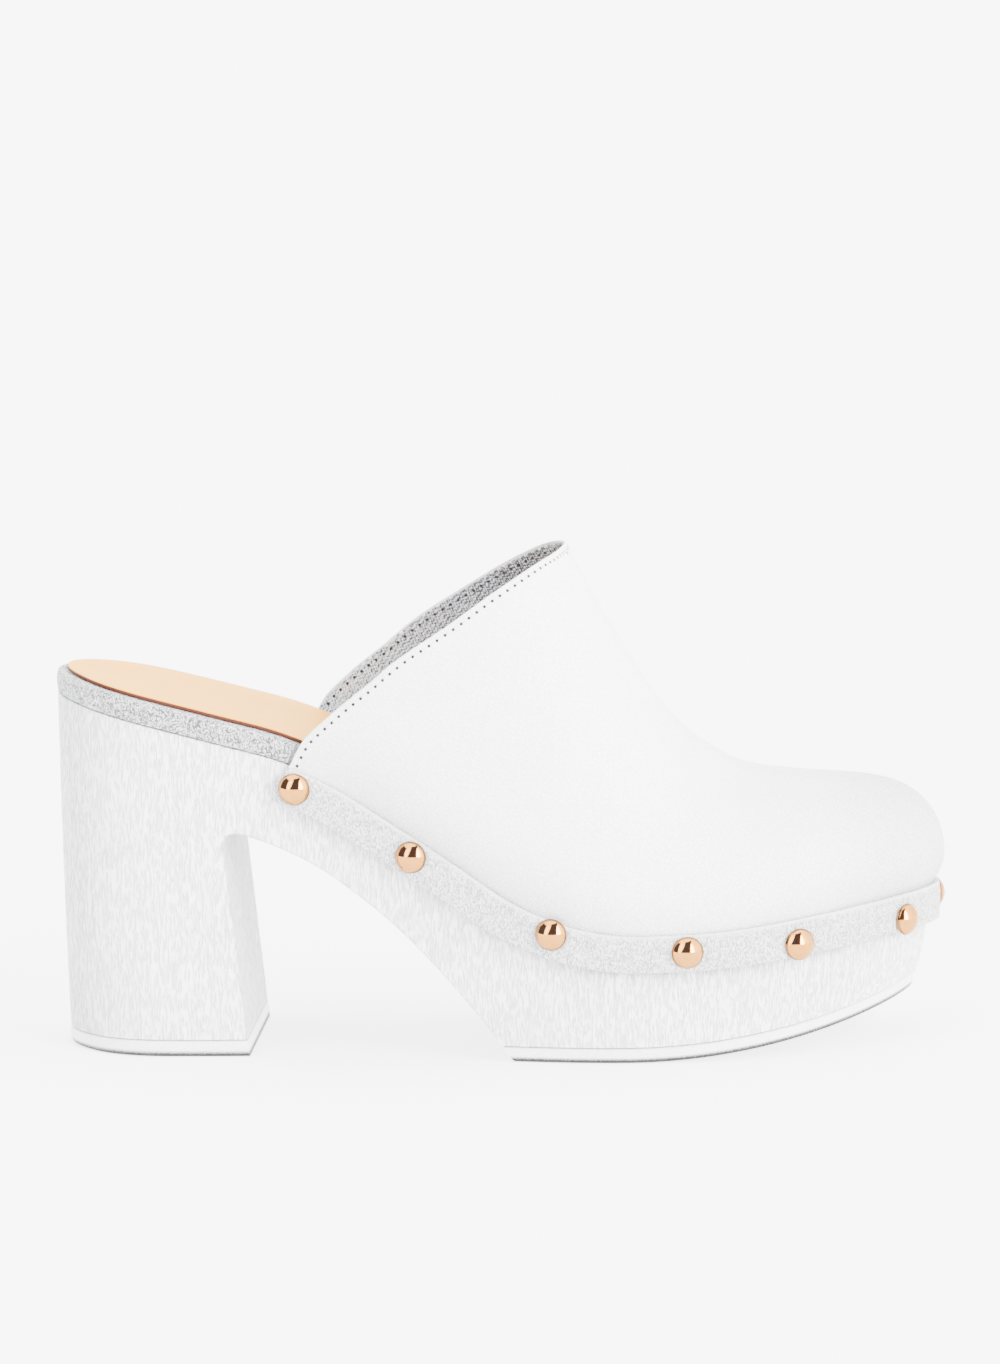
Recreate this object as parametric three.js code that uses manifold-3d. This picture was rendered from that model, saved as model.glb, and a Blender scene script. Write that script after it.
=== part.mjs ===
// Studded platform clog with a block heel, the right shoe of a pair, in millimetres.
// +X runs from the heel to the toe, +Y to the inner (medial) side of the foot and +Z up.
// The shoe stands on the floor plane with the origin at the bottom centre of its bounding box.
import * as THREE from "three";
import { mergeVertices } from "three/addons/utils/BufferGeometryUtils.js";
import Module from "manifold-3d";

const wasm = await Module();
wasm.setup();

// Lengths along the shoe, measured from the back of the heel
const soleLength = 230.7; // to the toe tip of the sole's upper edge
const heelBreastTop = 46; // front face of the heel where it meets the arch
const heelBreastFoot = 51.6; // the same face at the floor
const platformRear = 122; // back edge of the platform at the floor
const springStart = 152; // where the tread starts to rise towards the toe
const spineEnd = 213; // front end of the upper's ridge line
const toeFanStart = 175; // from here on the upper's sections fan out round the toe
const toeRoundStart = 165; // from here on the sole's top edge rises and its wall draws in
const toplineRear = 64.4; // lower rear corner of the upper
const throatReach = 136; // top of the throat
const waistEnd = 108; // the upper reaches its full bulge and height here

// Widths
const heelWidth = 63;
const ballWidth = 89.4;
const toeTipShift = 5; // the toe tip lies this far to the inner side
const ridgeShift = 0.8; // share of that shift which the upper's ridge takes at its front end
const toplineHalfWidth = 34; // half the opening's width where the topline's skew is measured

// Heights above the floor
const heelSeatHeight = 94.6; // top of the sole unit at the back of the heel
const platformHeight = 34.5; // top of the sole unit under the ball
const featherToeLift = 5.1; // rise of that top edge from the ball to the toe
const toeSpring = 12.6; // rise of the tread at the toe tip
const archHeight = 59.5; // highest point under the waist
const archCornerRadius = 3;
const throatHeight = 131.8;
const toeBoxHeight = 68.5;

// Thicknesses and clearances
const seam = 0.3; // gap between pieces that touch
const outsoleThickness = 3.9;
const topPieceThickness = 4.3;
const edgeInset = 0.9; // the two tread layers' edges draw in by this much at the floor
const footbedThickness = 6.1;
const sockThickness = 1;
const sockInset = 2.8;
const upperWall = 1.3;
const lastingMargin = 8; // the part of the upper that is hidden under the rand
const randThickness = 1.3;
const randWidth = 9.8;
const randEdgeBevel = 0.35;
const randDrop = 0.2; // the rand's top edge lies this far below the seam line
const marginLean = 4.4; // the margin's rear end leans back by this much over the rand's width
const randEndLean = 3.1; // so does each end of the rand, beyond square to its path
const footbedEdgeRadius = 1.6;

// Wall shape of the sole and of the upper
const sideTuck = 1.1; // how far the sole's wall draws in from the top edge to the floor
const toeTuck = 4.4; // the same at the toe tip
const tuckPower = 2.5; // above 1 the wall draws in mostly near the floor
const upperBulge = 3.1; // the upper stands out this far beyond its seam with the rand
const bulgeRise = 12.5; // height of the widest line over that seam at the waist
const toeBulgeRise = 7.6; // the same at the toe
const rearBulge = 0.15; // share of the bulge at the upper's rear corner
const instepFullness = 2; // exponent of the section's superellipse; 2 is an ellipse
const toeFullness = 2.15; // the same over the toes
const medialToplineRise = 2.6; // the inner side of the topline stands this much higher

// Studs
const studDiameter = 8.4;
const studHeight = 2.9;
const studRim = 0.5;
const studShank = 1.4;
const studShankLength = 7;

// Outline of the sole's upper edge, from heel to toe.
// at: share of the sole's length; lateral, medial: distance from the centre line, as a share
// of the half width at that place.
const outlineRows = [
  { at: 0.007, lateral: 0.3, medial: 0.3 },
  { at: 0.026, lateral: 0.565, medial: 0.565 },
  { at: 0.056, lateral: 0.8, medial: 0.8 },
  { at: 0.1, lateral: 0.95, medial: 0.95 },
  { at: 0.173, lateral: 1.0, medial: 1.0 },
  { at: 0.26, lateral: 1.015, medial: 1.0 },
  { at: 0.347, lateral: 1.03, medial: 0.965 },
  { at: 0.433, lateral: 1.032, medial: 0.92 },
  { at: 0.52, lateral: 1.031, medial: 0.89 },
  { at: 0.607, lateral: 1.043, medial: 0.902 },
  { at: 0.672, lateral: 1.058, medial: 0.922 },
  { at: 0.737, lateral: 1.038, medial: 0.923 },
  { at: 0.8, lateral: 0.978, medial: 0.888 },
  { at: 0.858, lateral: 0.868, medial: 0.801 },
  { at: 0.91, lateral: 0.705, medial: 0.663 },
  { at: 0.952, lateral: 0.501, medial: 0.483 },
  { at: 0.984, lateral: 0.261, medial: 0.254 },
];

// Top edge of the sole unit. rise: share of the way from platform height to heel seat height.
const featherRows = [
  { at: 0, rise: 1 },
  { at: 0.1, rise: 0.908 },
  { at: 0.2, rise: 0.808 },
  { at: 0.27, rise: 0.732 },
  { at: 0.33, rise: 0.632 },
  { at: 0.4, rise: 0.471 },
  { at: 0.47, rise: 0.302 },
  { at: 0.53, rise: 0.15 },
  { at: 0.59, rise: 0.05 },
  { at: 0.65, rise: 0.004 },
  { at: 0.7, rise: 0 },
  { at: 1, rise: 0 },
];

// Ridge line of the upper. at: share of the way from the throat to the ridge's front end;
// rise: share of the way from toe box height to throat height.
// The rows before 0 lie behind the throat, where the opening cuts the surface away.
const spineRows = [
  { at: -1.17, rise: 1.46 },
  { at: -0.42, rise: 1.39 },
  { at: -0.24, rise: 1.3 },
  { at: -0.104, rise: 1.17 },
  { at: 0, rise: 1.0 },
  { at: 0.097, rise: 0.765 },
  { at: 0.199, rise: 0.553 },
  { at: 0.307, rise: 0.338 },
  { at: 0.409, rise: 0.195 },
  { at: 0.535, rise: 0.083 },
  { at: 0.631, rise: 0.036 },
  { at: 0.78, rise: 0.012 },
  { at: 0.93, rise: 0 },
  { at: 1.08, rise: -0.012 },
];

// Underside of the waist. along: share from the heel breast to the platform's back edge;
// up: share of the arch height.
const archRows = [
  { along: 0.187, up: 0.941 },
  { along: 0.321, up: 0.857 },
  { along: 0.454, up: 0.739 },
  { along: 0.584, up: 0.605 },
  { along: 0.709, up: 0.449 },
  { along: 0.817, up: 0.294 },
  { along: 0.914, up: 0.145 },
  { along: 1, up: 0 },
];

// Edge of the foot opening, seen from the side, from the rear corner to the throat.
// along, up: shares of the way to the throat; skew: share of the inner side's extra height.
const toplineRows = [
  { along: 0, up: 0, skew: 0.3 },
  { along: 0.053, up: 0.138, skew: 0.7 },
  { along: 0.148, up: 0.262, skew: 0.85 },
  { along: 0.274, up: 0.4, skew: 0.75 },
  { along: 0.408, up: 0.542, skew: 0.7 },
  { along: 0.591, up: 0.699, skew: 0.65 },
  { along: 0.771, up: 0.851, skew: 0.4 },
  { along: 0.916, up: 0.957, skew: 0.15 },
  { along: 1, up: 1, skew: 0 },
];

// Rounded edge of the outsole and the heel's top piece. up: share of the layer's thickness;
// out: distance beyond the sole's wall, as a share of the edge's inset at the floor.
const treadEdgeRows = [
  { up: 0, out: -1 },
  { up: 0.22, out: 0.06 },
  { up: 0.6, out: 0.39 },
  { up: 1, out: 0.11 },
];

// Studs along the rand. at: share of the sole's length; down: share of the rand's width.
const studRows = [
  { name: "stud_lateral_1", side: "lateral", at: 0.293, down: 0.47 },
  { name: "stud_lateral_2", side: "lateral", at: 0.43, down: 0.46 },
  { name: "stud_lateral_3", side: "lateral", at: 0.583, down: 0.32 },
  { name: "stud_lateral_4", side: "lateral", at: 0.727, down: 0.46 },
  { name: "stud_lateral_5", side: "lateral", at: 0.846, down: 0.66 },
  { name: "stud_lateral_6", side: "lateral", at: 0.963, down: 0.68 },
  { name: "stud_toe", side: "medial", at: 0.993, down: 0.45 },
  { name: "stud_medial_6", side: "medial", at: 0.927, down: 0.55 },
  { name: "stud_medial_5", side: "medial", at: 0.805, down: 0.55 },
  { name: "stud_medial_4", side: "medial", at: 0.67, down: 0.48 },
  { name: "stud_medial_3", side: "medial", at: 0.54, down: 0.42 },
  { name: "stud_medial_2", side: "medial", at: 0.415, down: 0.46 },
  { name: "stud_medial_1", side: "medial", at: 0.293, down: 0.47 },
];

const { lerp, smoothstep } = THREE.MathUtils;

// A smooth function through the rows of a table: cubic pieces whose slopes come from the
// neighbouring rows, held level outside the table.
function smoothTable(rows, column) {
  const xs = rows.map((row) => row.at);
  const ys = rows.map((row) => row[column]);
  const last = rows.length - 1;
  const slopes = xs.map((x, i) => {
    const a = Math.max(i - 1, 0);
    const b = Math.min(i + 1, last);
    return (ys[b] - ys[a]) / (xs[b] - xs[a]);
  });
  return (x) => {
    if (x <= xs[0]) return ys[0];
    if (x >= xs[last]) return ys[last];
    const i = xs.findIndex((v) => v > x) - 1;
    const h = xs[i + 1] - xs[i];
    const t = (x - xs[i]) / h;
    const u = 1 - t;
    return (
      ys[i] * u * u * (1 + 2 * t) +
      ys[i + 1] * t * t * (3 - 2 * t) +
      h * (slopes[i] * t * u * u - slopes[i + 1] * t * t * u)
    );
  };
}

const featherRise = smoothTable(featherRows, "rise");
const spineRise = smoothTable(spineRows, "rise");

// Height of the sole unit's top edge, of the upper's ridge and of the tread at a length x
function featherHeight(x) {
  const rise = featherRise(x / soleLength) * (heelSeatHeight - platformHeight);
  const lift = featherToeLift * smoothstep(x, toeRoundStart, soleLength);
  return platformHeight + rise + lift;
}

function spineHeight(x) {
  const at = (x - throatReach) / (spineEnd - throatReach);
  return toeBoxHeight + spineRise(at) * (throatHeight - toeBoxHeight);
}

function treadHeight(x) {
  const share = Math.max(0, x - springStart) / (soleLength - springStart);
  return toeSpring * share * share;
}

// The sole's outline is one closed curve: heel tip, outer rows, toe tip, inner rows.
// Its centre line bends towards the inner side from the ball to the toe tip.
const heelEndAt = 0.26;
const bendAt = 0.6;
const ballAt = 0.65;

function halfWidth(at) {
  return lerp(heelWidth / 2, ballWidth / 2, smoothstep(at, heelEndAt, ballAt));
}

function centreLine(at) {
  return toeTipShift * smoothstep(at, bendAt, 1);
}

const outerSide = outlineRows.map((row) => {
  const y = centreLine(row.at) - row.lateral * halfWidth(row.at);
  return new THREE.Vector3(row.at * soleLength, y, 0);
});
const innerSide = outlineRows.map((row) => {
  const y = centreLine(row.at) + row.medial * halfWidth(row.at);
  return new THREE.Vector3(row.at * soleLength, y, 0);
});
const outline = new THREE.CatmullRomCurve3(
  [
    new THREE.Vector3(0, 0, 0),
    ...outerSide,
    new THREE.Vector3(soleLength, toeTipShift, 0),
    ...innerSide.reverse(),
  ],
  true,
  "centripetal",
);
const outlineKnots = outline.points.length;
const toeKnot = outlineKnots / 2;

// The point of the outline at parameter t, moved outwards by offset
function outlinePoint(t, offset) {
  const point = outline.getPoint(t);
  const tangent = outline.getTangent(t);
  return new THREE.Vector3(
    point.x + tangent.y * offset,
    point.y - tangent.x * offset,
    0,
  );
}

// Stations run from the heel tip, 0, to the toe tip, toeKnot. Each has a point on both sides.
function sideParameter(station, side) {
  return side === "lateral" ? station / outlineKnots : 1 - station / outlineKnots;
}

function stations(from, perKnot) {
  const count = Math.round((toeKnot - from) * perKnot);
  return Array.from({ length: count + 1 }, (_, i) => lerp(from, toeKnot, i / count));
}

// The station where one side of the outline reaches a length x
function stationAt(x, side) {
  let low = 0;
  let high = toeKnot;
  for (let i = 0; i < 40; i++) {
    const middle = (low + high) / 2;
    if (outline.getPoint(sideParameter(middle, side)).x < x) low = middle;
    else high = middle;
  }
  return low;
}

// Triangles and solids
function toSolid(geometry) {
  const bare = new THREE.BufferGeometry();
  bare.setAttribute("position", geometry.getAttribute("position"));
  if (geometry.index) bare.setIndex(geometry.index);
  const merged = mergeVertices(bare, 1e-4);
  const corners = merged.index.array;
  const kept = [];
  for (let i = 0; i < corners.length; i += 3) {
    const [a, b, c] = corners.slice(i, i + 3);
    if (a !== b && b !== c && c !== a) kept.push(a, b, c);
  }
  return new wasm.Manifold(
    new wasm.Mesh({
      numProp: 3,
      vertProperties: merged.attributes.position.array,
      triVerts: Uint32Array.from(kept),
    }),
  );
}

function toGeometry(solid) {
  const mesh = solid.getMesh();
  const geometry = new THREE.BufferGeometry();
  geometry.setAttribute("position", new THREE.BufferAttribute(mesh.vertProperties, 3));
  geometry.setIndex(new THREE.BufferAttribute(mesh.triVerts, 1));
  const flat = geometry.toNonIndexed();
  flat.computeVertexNormals();
  return flat;
}

// A closed skin over a row of rings with equal point counts, with a fan over each open end
function loft(rings) {
  const size = rings[0].length;
  const points = rings.flat();
  const faces = [];
  for (let i = 0; i + 1 < rings.length; i++) {
    for (let k = 0; k < size; k++) {
      const a = i * size + k;
      const b = i * size + ((k + 1) % size);
      faces.push(a, b + size, b, a, a + size, b + size);
    }
  }
  for (const end of [0, rings.length - 1]) {
    const centre = new THREE.Vector3();
    rings[end].forEach((point) => centre.addScaledVector(point, 1 / size));
    const hub = points.push(centre) - 1;
    for (let k = 0; k < size; k++) {
      const a = end * size + k;
      const b = end * size + ((k + 1) % size);
      if (end === 0) faces.push(a, b, hub);
      else faces.push(a, hub, b);
    }
  }
  const geometry = new THREE.BufferGeometry().setFromPoints(points);
  geometry.setIndex(faces);
  return geometry;
}

// A solid cut from a side view: a closed outline of [x, z] pairs, carried across the whole width
function sideSlab(pairs) {
  const width = 2 * ballWidth;
  const shape = new THREE.Shape(pairs.map(([x, z]) => new THREE.Vector2(x, z)));
  const geometry = new THREE.ExtrudeGeometry(shape, { depth: width, bevelEnabled: false });
  geometry.rotateX(Math.PI / 2);
  geometry.translate(0, width / 2, 0);
  return toSolid(geometry);
}

function sampled(from, to, count, height) {
  return Array.from({ length: count + 1 }, (_, i) => {
    const x = lerp(from, to, i / count);
    return [x, height(x)];
  });
}

// A block inside the outline. Each level gives its height at a length and how far it stands out.
function outlineBlock(levels) {
  const rings = stations(0, knotSteps).map((station) => {
    const wall = (side) =>
      levels.map((level) => {
        const t = sideParameter(station, side);
        const point = outlinePoint(t, level.out(outline.getPoint(t).x));
        return point.setZ(level.height(point.x));
      });
    return [...wall("lateral"), ...wall("medial").reverse()];
  });
  return toSolid(loft(rings));
}

// How far the sole's wall has drawn in at a share of the way down to the tread
function wallTuck(x, down) {
  const tuck = lerp(sideTuck, toeTuck, smoothstep(x, toeRoundStart, soleLength));
  return tuck * Math.pow(down, tuckPower);
}

const beyond = 20; // overshoot of the cutting shapes past the shoe
const topSteps = 36; // straight pieces along the sole's top edge in side view
const treadSteps = 18;
const archSteps = 24;
const cornerSteps = 4;
const knotSteps = 2; // rings of the sole and the footbed for each row of the outline

// Levels of the sole's wall, as shares of the way up from the tread to the top edge
const wallShares = [-0.05, 0.06, 0.16, 0.3, 0.5, 0.75, 1.02];

// The underside in side view, from the toe back to the heel, lying a given height over the tread
function archPoint(along, up) {
  return [lerp(heelBreastTop, platformRear, along), archHeight * up];
}

function undersideLine(overForepart, overHeel) {
  const tread = sampled(
    soleLength + beyond,
    platformRear,
    treadSteps,
    (x) => treadHeight(x) + overForepart,
  ).filter(([x, z]) => x > archLengthAt(z));
  const arch = archCurve.getSpacedPoints(archSteps).map((p) => [p.x, p.y]);
  const waist = arch.filter(([, z]) => z > overForepart).reverse();
  const corner = Array.from({ length: cornerSteps + 1 }, (_, i) => {
    const turn = (Math.PI / 2) * (1 + i / cornerSteps);
    return [
      heelBreastTop + archCornerRadius * (1 + Math.cos(turn)),
      archHeight + archCornerRadius * (Math.sin(turn) - 1),
    ];
  });
  const share = overHeel / (archHeight - archCornerRadius);
  const foot = [lerp(heelBreastFoot, heelBreastTop, share), overHeel];
  return [...tread, [archLengthAt(overForepart), overForepart], ...waist, ...corner, foot];
}

const archCurve = new THREE.SplineCurve(
  [[0.06, 1], ...archRows.map((row) => [row.along, row.up])].map(
    ([along, up]) => new THREE.Vector2(...archPoint(along, up)),
  ),
);

function archLengthAt(z) {
  const line = archCurve.getSpacedPoints(200);
  return line.find((point) => point.y <= z).x;
}

// Sole unit: heel, waist and platform moulded in one
function soleUnit() {
  const levels = wallShares.map((share) => ({
    height: (x) => lerp(treadHeight(x), featherHeight(x), share),
    out: (x) => -wallTuck(x, THREE.MathUtils.clamp(1 - share, 0, 1)),
  }));
  const top = sampled(-beyond, soleLength + beyond, topSteps, featherHeight);
  const under = undersideLine(outsoleThickness + seam, topPieceThickness + seam);
  const profile = [...top, ...under, [-beyond, topPieceThickness + seam]];
  return outlineBlock(levels).intersect(sideSlab(profile));
}

// A tread layer under the sole unit, with a rounded edge that stands a little proud
function treadLayer(thickness, profile) {
  const levels = treadEdgeRows.map((row) => ({
    height: (x) => treadHeight(x) + row.up * thickness,
    out: (x) => row.out * edgeInset - wallTuck(x, 1),
  }));
  return outlineBlock(levels).intersect(sideSlab(profile));
}

function forepartOutsole() {
  const rear = archLengthAt(outsoleThickness);
  const front = soleLength + beyond;
  return treadLayer(outsoleThickness, [
    [platformRear, -1],
    [front, -1],
    [front, platformHeight],
    [rear, platformHeight],
    [rear, outsoleThickness],
    [platformRear, 0],
  ]);
}

function heelTopPiece() {
  const share = topPieceThickness / archHeight;
  return treadLayer(topPieceThickness, [
    [-beyond, -1],
    [heelBreastFoot, -1],
    [heelBreastFoot, 0],
    [lerp(heelBreastFoot, heelBreastTop, share), topPieceThickness],
    [lerp(heelBreastFoot, heelBreastTop, share), 2 * topPieceThickness],
    [-beyond, 2 * topPieceThickness],
  ]);
}

// Footbed with a wrapped edge, and the sock on top of it
function footbed() {
  const bottom = seam;
  const top = seam + footbedThickness;
  const chamfer = footbedEdgeRadius * (1 - Math.SQRT1_2);
  const levels = [
    { over: bottom, out: 0 },
    { over: top - footbedEdgeRadius, out: 0 },
    { over: top - chamfer, out: -chamfer },
    { over: top, out: -footbedEdgeRadius },
  ].map((row) => ({ height: (x) => featherHeight(x) + row.over, out: () => row.out }));
  return outlineBlock(levels);
}

function sock() {
  const bottom = 2 * seam + footbedThickness;
  const levels = [bottom, bottom + sockThickness].map((over) => ({
    height: (x) => featherHeight(x) + over,
    out: () => -sockInset,
  }));
  return outlineBlock(levels);
}

// Upper. Each station has a section curve on both sides: up the lasting margin, out to the
// widest line and over a superellipse to the ridge.
const upperStations = 3;
const marginRings = 1;
const undercutRings = 2;
const domeRings = 10;
const toplineSteps = 30;

function ridgePoint(station, inset) {
  const outer = outline.getPoint(sideParameter(station, "lateral"));
  const inner = outline.getPoint(sideParameter(station, "medial"));
  const length = (outer.x + inner.x) / 2;
  const power = (soleLength - toeFanStart) / (spineEnd - toeFanStart);
  const share = Math.max(0, length - toeFanStart) / (soleLength - toeFanStart);
  const folded = lerp(toeFanStart, spineEnd, 1 - Math.pow(1 - share, power));
  const x = share > 0 ? folded : length;
  const y = ridgeShift * toeTipShift * smoothstep(x, waistEnd, spineEnd);
  return new THREE.Vector3(x, y, spineHeight(x) - inset);
}

function sectionSide(station, side, inset, marginDepth) {
  const t = sideParameter(station, side);
  const foot = outlinePoint(t, seam + upperWall - inset);
  const ridge = ridgePoint(station, inset);
  const x = outline.getPoint(t).x;
  const seamHeight = featherHeight(x);
  const outwards = new THREE.Vector3(foot.x - ridge.x, foot.y - ridge.y, 0);
  const reach = outwards.length();
  outwards.normalize();
  const bulge = upperBulge * lerp(rearBulge, 1, smoothstep(x, toplineRear, waistEnd));
  const rise = lerp(bulgeRise, toeBulgeRise, smoothstep(x, toeRoundStart, soleLength));
  const power = 2 / lerp(instepFullness, toeFullness, smoothstep(x, throatReach, toeFanStart));
  const at = (distance, height) =>
    new THREE.Vector3(ridge.x, ridge.y, height).addScaledVector(outwards, distance);
  const points = [];
  for (let i = 0; i < marginRings; i++) {
    const down = marginDepth * (1 - i / marginRings);
    points.push(at(reach, seamHeight - down));
  }
  for (let i = 0; i < undercutRings; i++) {
    const down = 1 - i / undercutRings;
    points.push(at(reach + bulge * (1 - down * down), seamHeight + rise * (1 - down)));
  }
  const widest = seamHeight + rise;
  for (let i = 0; i <= domeRings; i++) {
    const angle = (Math.PI / 2) * (i / domeRings);
    const across = Math.pow(Math.max(0, Math.cos(angle)), power);
    const up = Math.pow(Math.sin(angle), power);
    const distance = i === domeRings ? 0 : (reach + bulge) * across;
    points.push(at(distance, widest + (ridge.z - widest) * up));
  }
  return points;
}

function upperForm(inset, marginDepth, rearX) {
  const rings = stations(stationAt(rearX, "lateral"), upperStations).map((station) => {
    const outer = sectionSide(station, "lateral", inset, marginDepth);
    const inner = sectionSide(station, "medial", inset, marginDepth);
    return [...outer, ...inner.reverse().slice(1)];
  });
  return toSolid(loft(rings));
}

// Everything behind and above the foot opening. The topline is a curve of x, height and skew.
function footOpening() {
  const rearHeight = featherHeight(toplineRear);
  const curve = new THREE.CatmullRomCurve3(
    toplineRows.map(
      (row) =>
        new THREE.Vector3(
          lerp(toplineRear, throatReach, row.along),
          lerp(rearHeight, throatHeight, row.up),
          (row.skew * medialToplineRise) / 2,
        ),
    ),
  );
  const line = curve.getSpacedPoints(toplineSteps);
  const end = line[line.length - 1];
  const before = line[line.length - 2];
  const onward = end.clone().addScaledVector(end.clone().sub(before).normalize(), 3 * beyond);
  onward.z = 0;
  const marginFoot = [toplineRear - marginLean, rearHeight - randWidth];
  const behind = [
    new THREE.Vector3(-beyond, 0, 0),
    new THREE.Vector3(marginFoot[0] - seam, 0, 0),
    new THREE.Vector3(...marginFoot, line[0].z),
  ];
  const reach = ballWidth;
  const ceiling = 2 * throatHeight;
  const rings = [...behind, ...line, onward].map((point) => {
    const lean = point.z * (reach / toplineHalfWidth);
    return [
      new THREE.Vector3(point.x, -reach, point.y - lean),
      new THREE.Vector3(point.x, -reach, ceiling),
      new THREE.Vector3(point.x, reach, ceiling),
      new THREE.Vector3(point.x, reach, point.y + lean),
    ];
  });
  return toSolid(loft(rings));
}

function upper() {
  const rearX = toplineRear - randWidth;
  const outside = upperForm(0, lastingMargin, rearX);
  const inside = upperForm(upperWall, 2 * lastingMargin, rearX - beyond / 2);
  return outside.subtract(inside).subtract(footOpening());
}

// Rand: a strip carried along the outline over the lasting margin, square to its own path
const randInner = 2 * seam + upperWall;
const randOuter = randInner + randThickness;
const outlineLength = outline.getLength();
const lengthSteps = 800;
const randSteps = 88;

function arcShareAt(x, side) {
  const t = sideParameter(stationAt(x, side), side);
  const lengths = outline.getLengths(lengthSteps);
  return lengths[Math.round(t * lengthSteps)] / outlineLength;
}

// A point on the rand: u is the arc share of its top edge, down the distance below that edge
function randPoint(u, down, offset) {
  const step = 0.002;
  const heightAt = (share) => featherHeight(outline.getPointAt(share).x);
  const slope = (heightAt(u + step) - heightAt(u - step)) / (2 * step * outlineLength);
  const scale = Math.hypot(1, slope);
  const share = u + (down * slope) / scale / outlineLength;
  const t = outline.getUtoTmapping(share);
  const height = heightAt(u) - down / scale - randDrop;
  return outlinePoint(t, offset).setZ(height);
}

function rand() {
  const from = arcShareAt(toplineRear, "lateral");
  const to = arcShareAt(toplineRear, "medial");
  const section = [
    { down: 0, offset: randInner },
    { down: randWidth, offset: randInner },
    { down: randWidth, offset: randOuter - randEdgeBevel },
    { down: randWidth - randEdgeBevel, offset: randOuter },
    { down: randEdgeBevel, offset: randOuter },
    { down: 0, offset: randOuter - randEdgeBevel },
  ];
  const rings = Array.from({ length: randSteps + 1 }, (_, i) => {
    const along = i / randSteps;
    const u = lerp(from, to, along);
    const lean = ((2 * along - 1) * randEndLean) / randWidth / outlineLength;
    return section.map(({ down, offset }) => randPoint(u + lean * down, down, offset));
  });
  return toSolid(loft(rings));
}

const capSteps = 3;
const studSegments = 12;
const holeSegments = 8;

// Studs: a domed head with a nail shank that runs through rand and upper into the sole
function revolved(profile, segments) {
  return toSolid(new THREE.LatheGeometry(profile.map(([r, h]) => new THREE.Vector2(r, h)), segments));
}

function studProfile() {
  const radius = studDiameter / 2;
  const cap = studHeight - studRim;
  const sphere = (radius * radius + cap * cap) / (2 * cap);
  const half = Math.asin(radius / sphere);
  const dome = Array.from({ length: capSteps + 1 }, (_, i) => {
    const angle = half * (1 - i / capSteps);
    return [
      i === capSteps ? 0 : sphere * Math.sin(angle),
      studHeight - sphere + sphere * Math.cos(angle),
    ];
  });
  const shank = studShank / 2;
  const tip = [[0, -studShankLength], [shank, shank - studShankLength]];
  return [...tip, [shank, 0], [radius, 0], ...dome];
}

// The place of a stud on the rand: its seat and the outward direction
function studPlace(row) {
  const u = arcShareAt(row.at * soleLength, row.side);
  const seat = randPoint(u, row.down * randWidth, randOuter + seam);
  const wall = randPoint(u, row.down * randWidth, 0);
  const outwards = seat.clone().sub(wall).setZ(0).normalize();
  return { seat, outwards };
}

function placed(object, row) {
  const { seat, outwards } = studPlace(row);
  object.position.copy(seat);
  object.quaternion.setFromUnitVectors(new THREE.Vector3(0, 1, 0), outwards);
  return object;
}

function nailHoles() {
  const radius = studShank / 2 + seam;
  const depth = studShankLength + seam;
  const cylinder = new THREE.CylinderGeometry(radius, radius, depth + seam, holeSegments);
  cylinder.translate(0, (seam - depth) / 2, 0);
  const holes = studRows.map((row) => {
    const mesh = placed(new THREE.Mesh(cylinder), row);
    mesh.updateMatrixWorld(true);
    return toSolid(cylinder.clone().applyMatrix4(mesh.matrixWorld));
  });
  return wasm.Manifold.union(holes);
}

// Materials
const finish = (color, roughness, metalness) =>
  new THREE.MeshStandardMaterial({ color, roughness, metalness });
const whiteLeather = finish(0xf3f3f3, 0.55, 0);
const whiteSole = finish(0xf1f1f0, 0.6, 0);
const greySuede = finish(0xcfd1d0, 0.9, 0);
const tanLeather = finish(0xf2cfa8, 0.4, 0);
const whiteRand = finish(0xefefee, 0.7, 0);
const roseGold = finish(0xe0ac84, 0.18, 1);

// Assembly
const shoe = new THREE.Group();

function piece(name, solid, material) {
  const mesh = new THREE.Mesh(toGeometry(solid), material);
  mesh.name = name;
  shoe.add(mesh);
  return mesh;
}

const holes = nailHoles();
piece("sole_unit", soleUnit().subtract(holes), whiteSole);
piece("forepart_outsole", forepartOutsole(), whiteSole);
piece("heel_top_piece", heelTopPiece(), whiteSole);
piece("footbed", footbed(), greySuede);
piece("insole_sock", sock(), tanLeather);
piece("upper", upper().subtract(holes), whiteLeather);
piece("rand", rand().subtract(holes), whiteRand);

const stud = revolved(studProfile(), studSegments);
studRows.forEach((row) => placed(piece(row.name, stud, roseGold), row));

const bounds = new THREE.Box3().setFromObject(shoe, true);
const centre = bounds.getCenter(new THREE.Vector3());
shoe.position.set(-centre.x, -centre.y, -bounds.min.z);

const clog = new THREE.Group();
clog.add(shoe);

export default clog;
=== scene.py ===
"""Looks of the studded clog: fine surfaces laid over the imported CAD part, in its own frame.

Shapes are worked out in millimetres from the back of the heel, +X to the toe and +Y to the
inner side, from the same sizes and tables as the part's source. to_frame() moves them into
the part's frame, in metres.
"""

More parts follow.
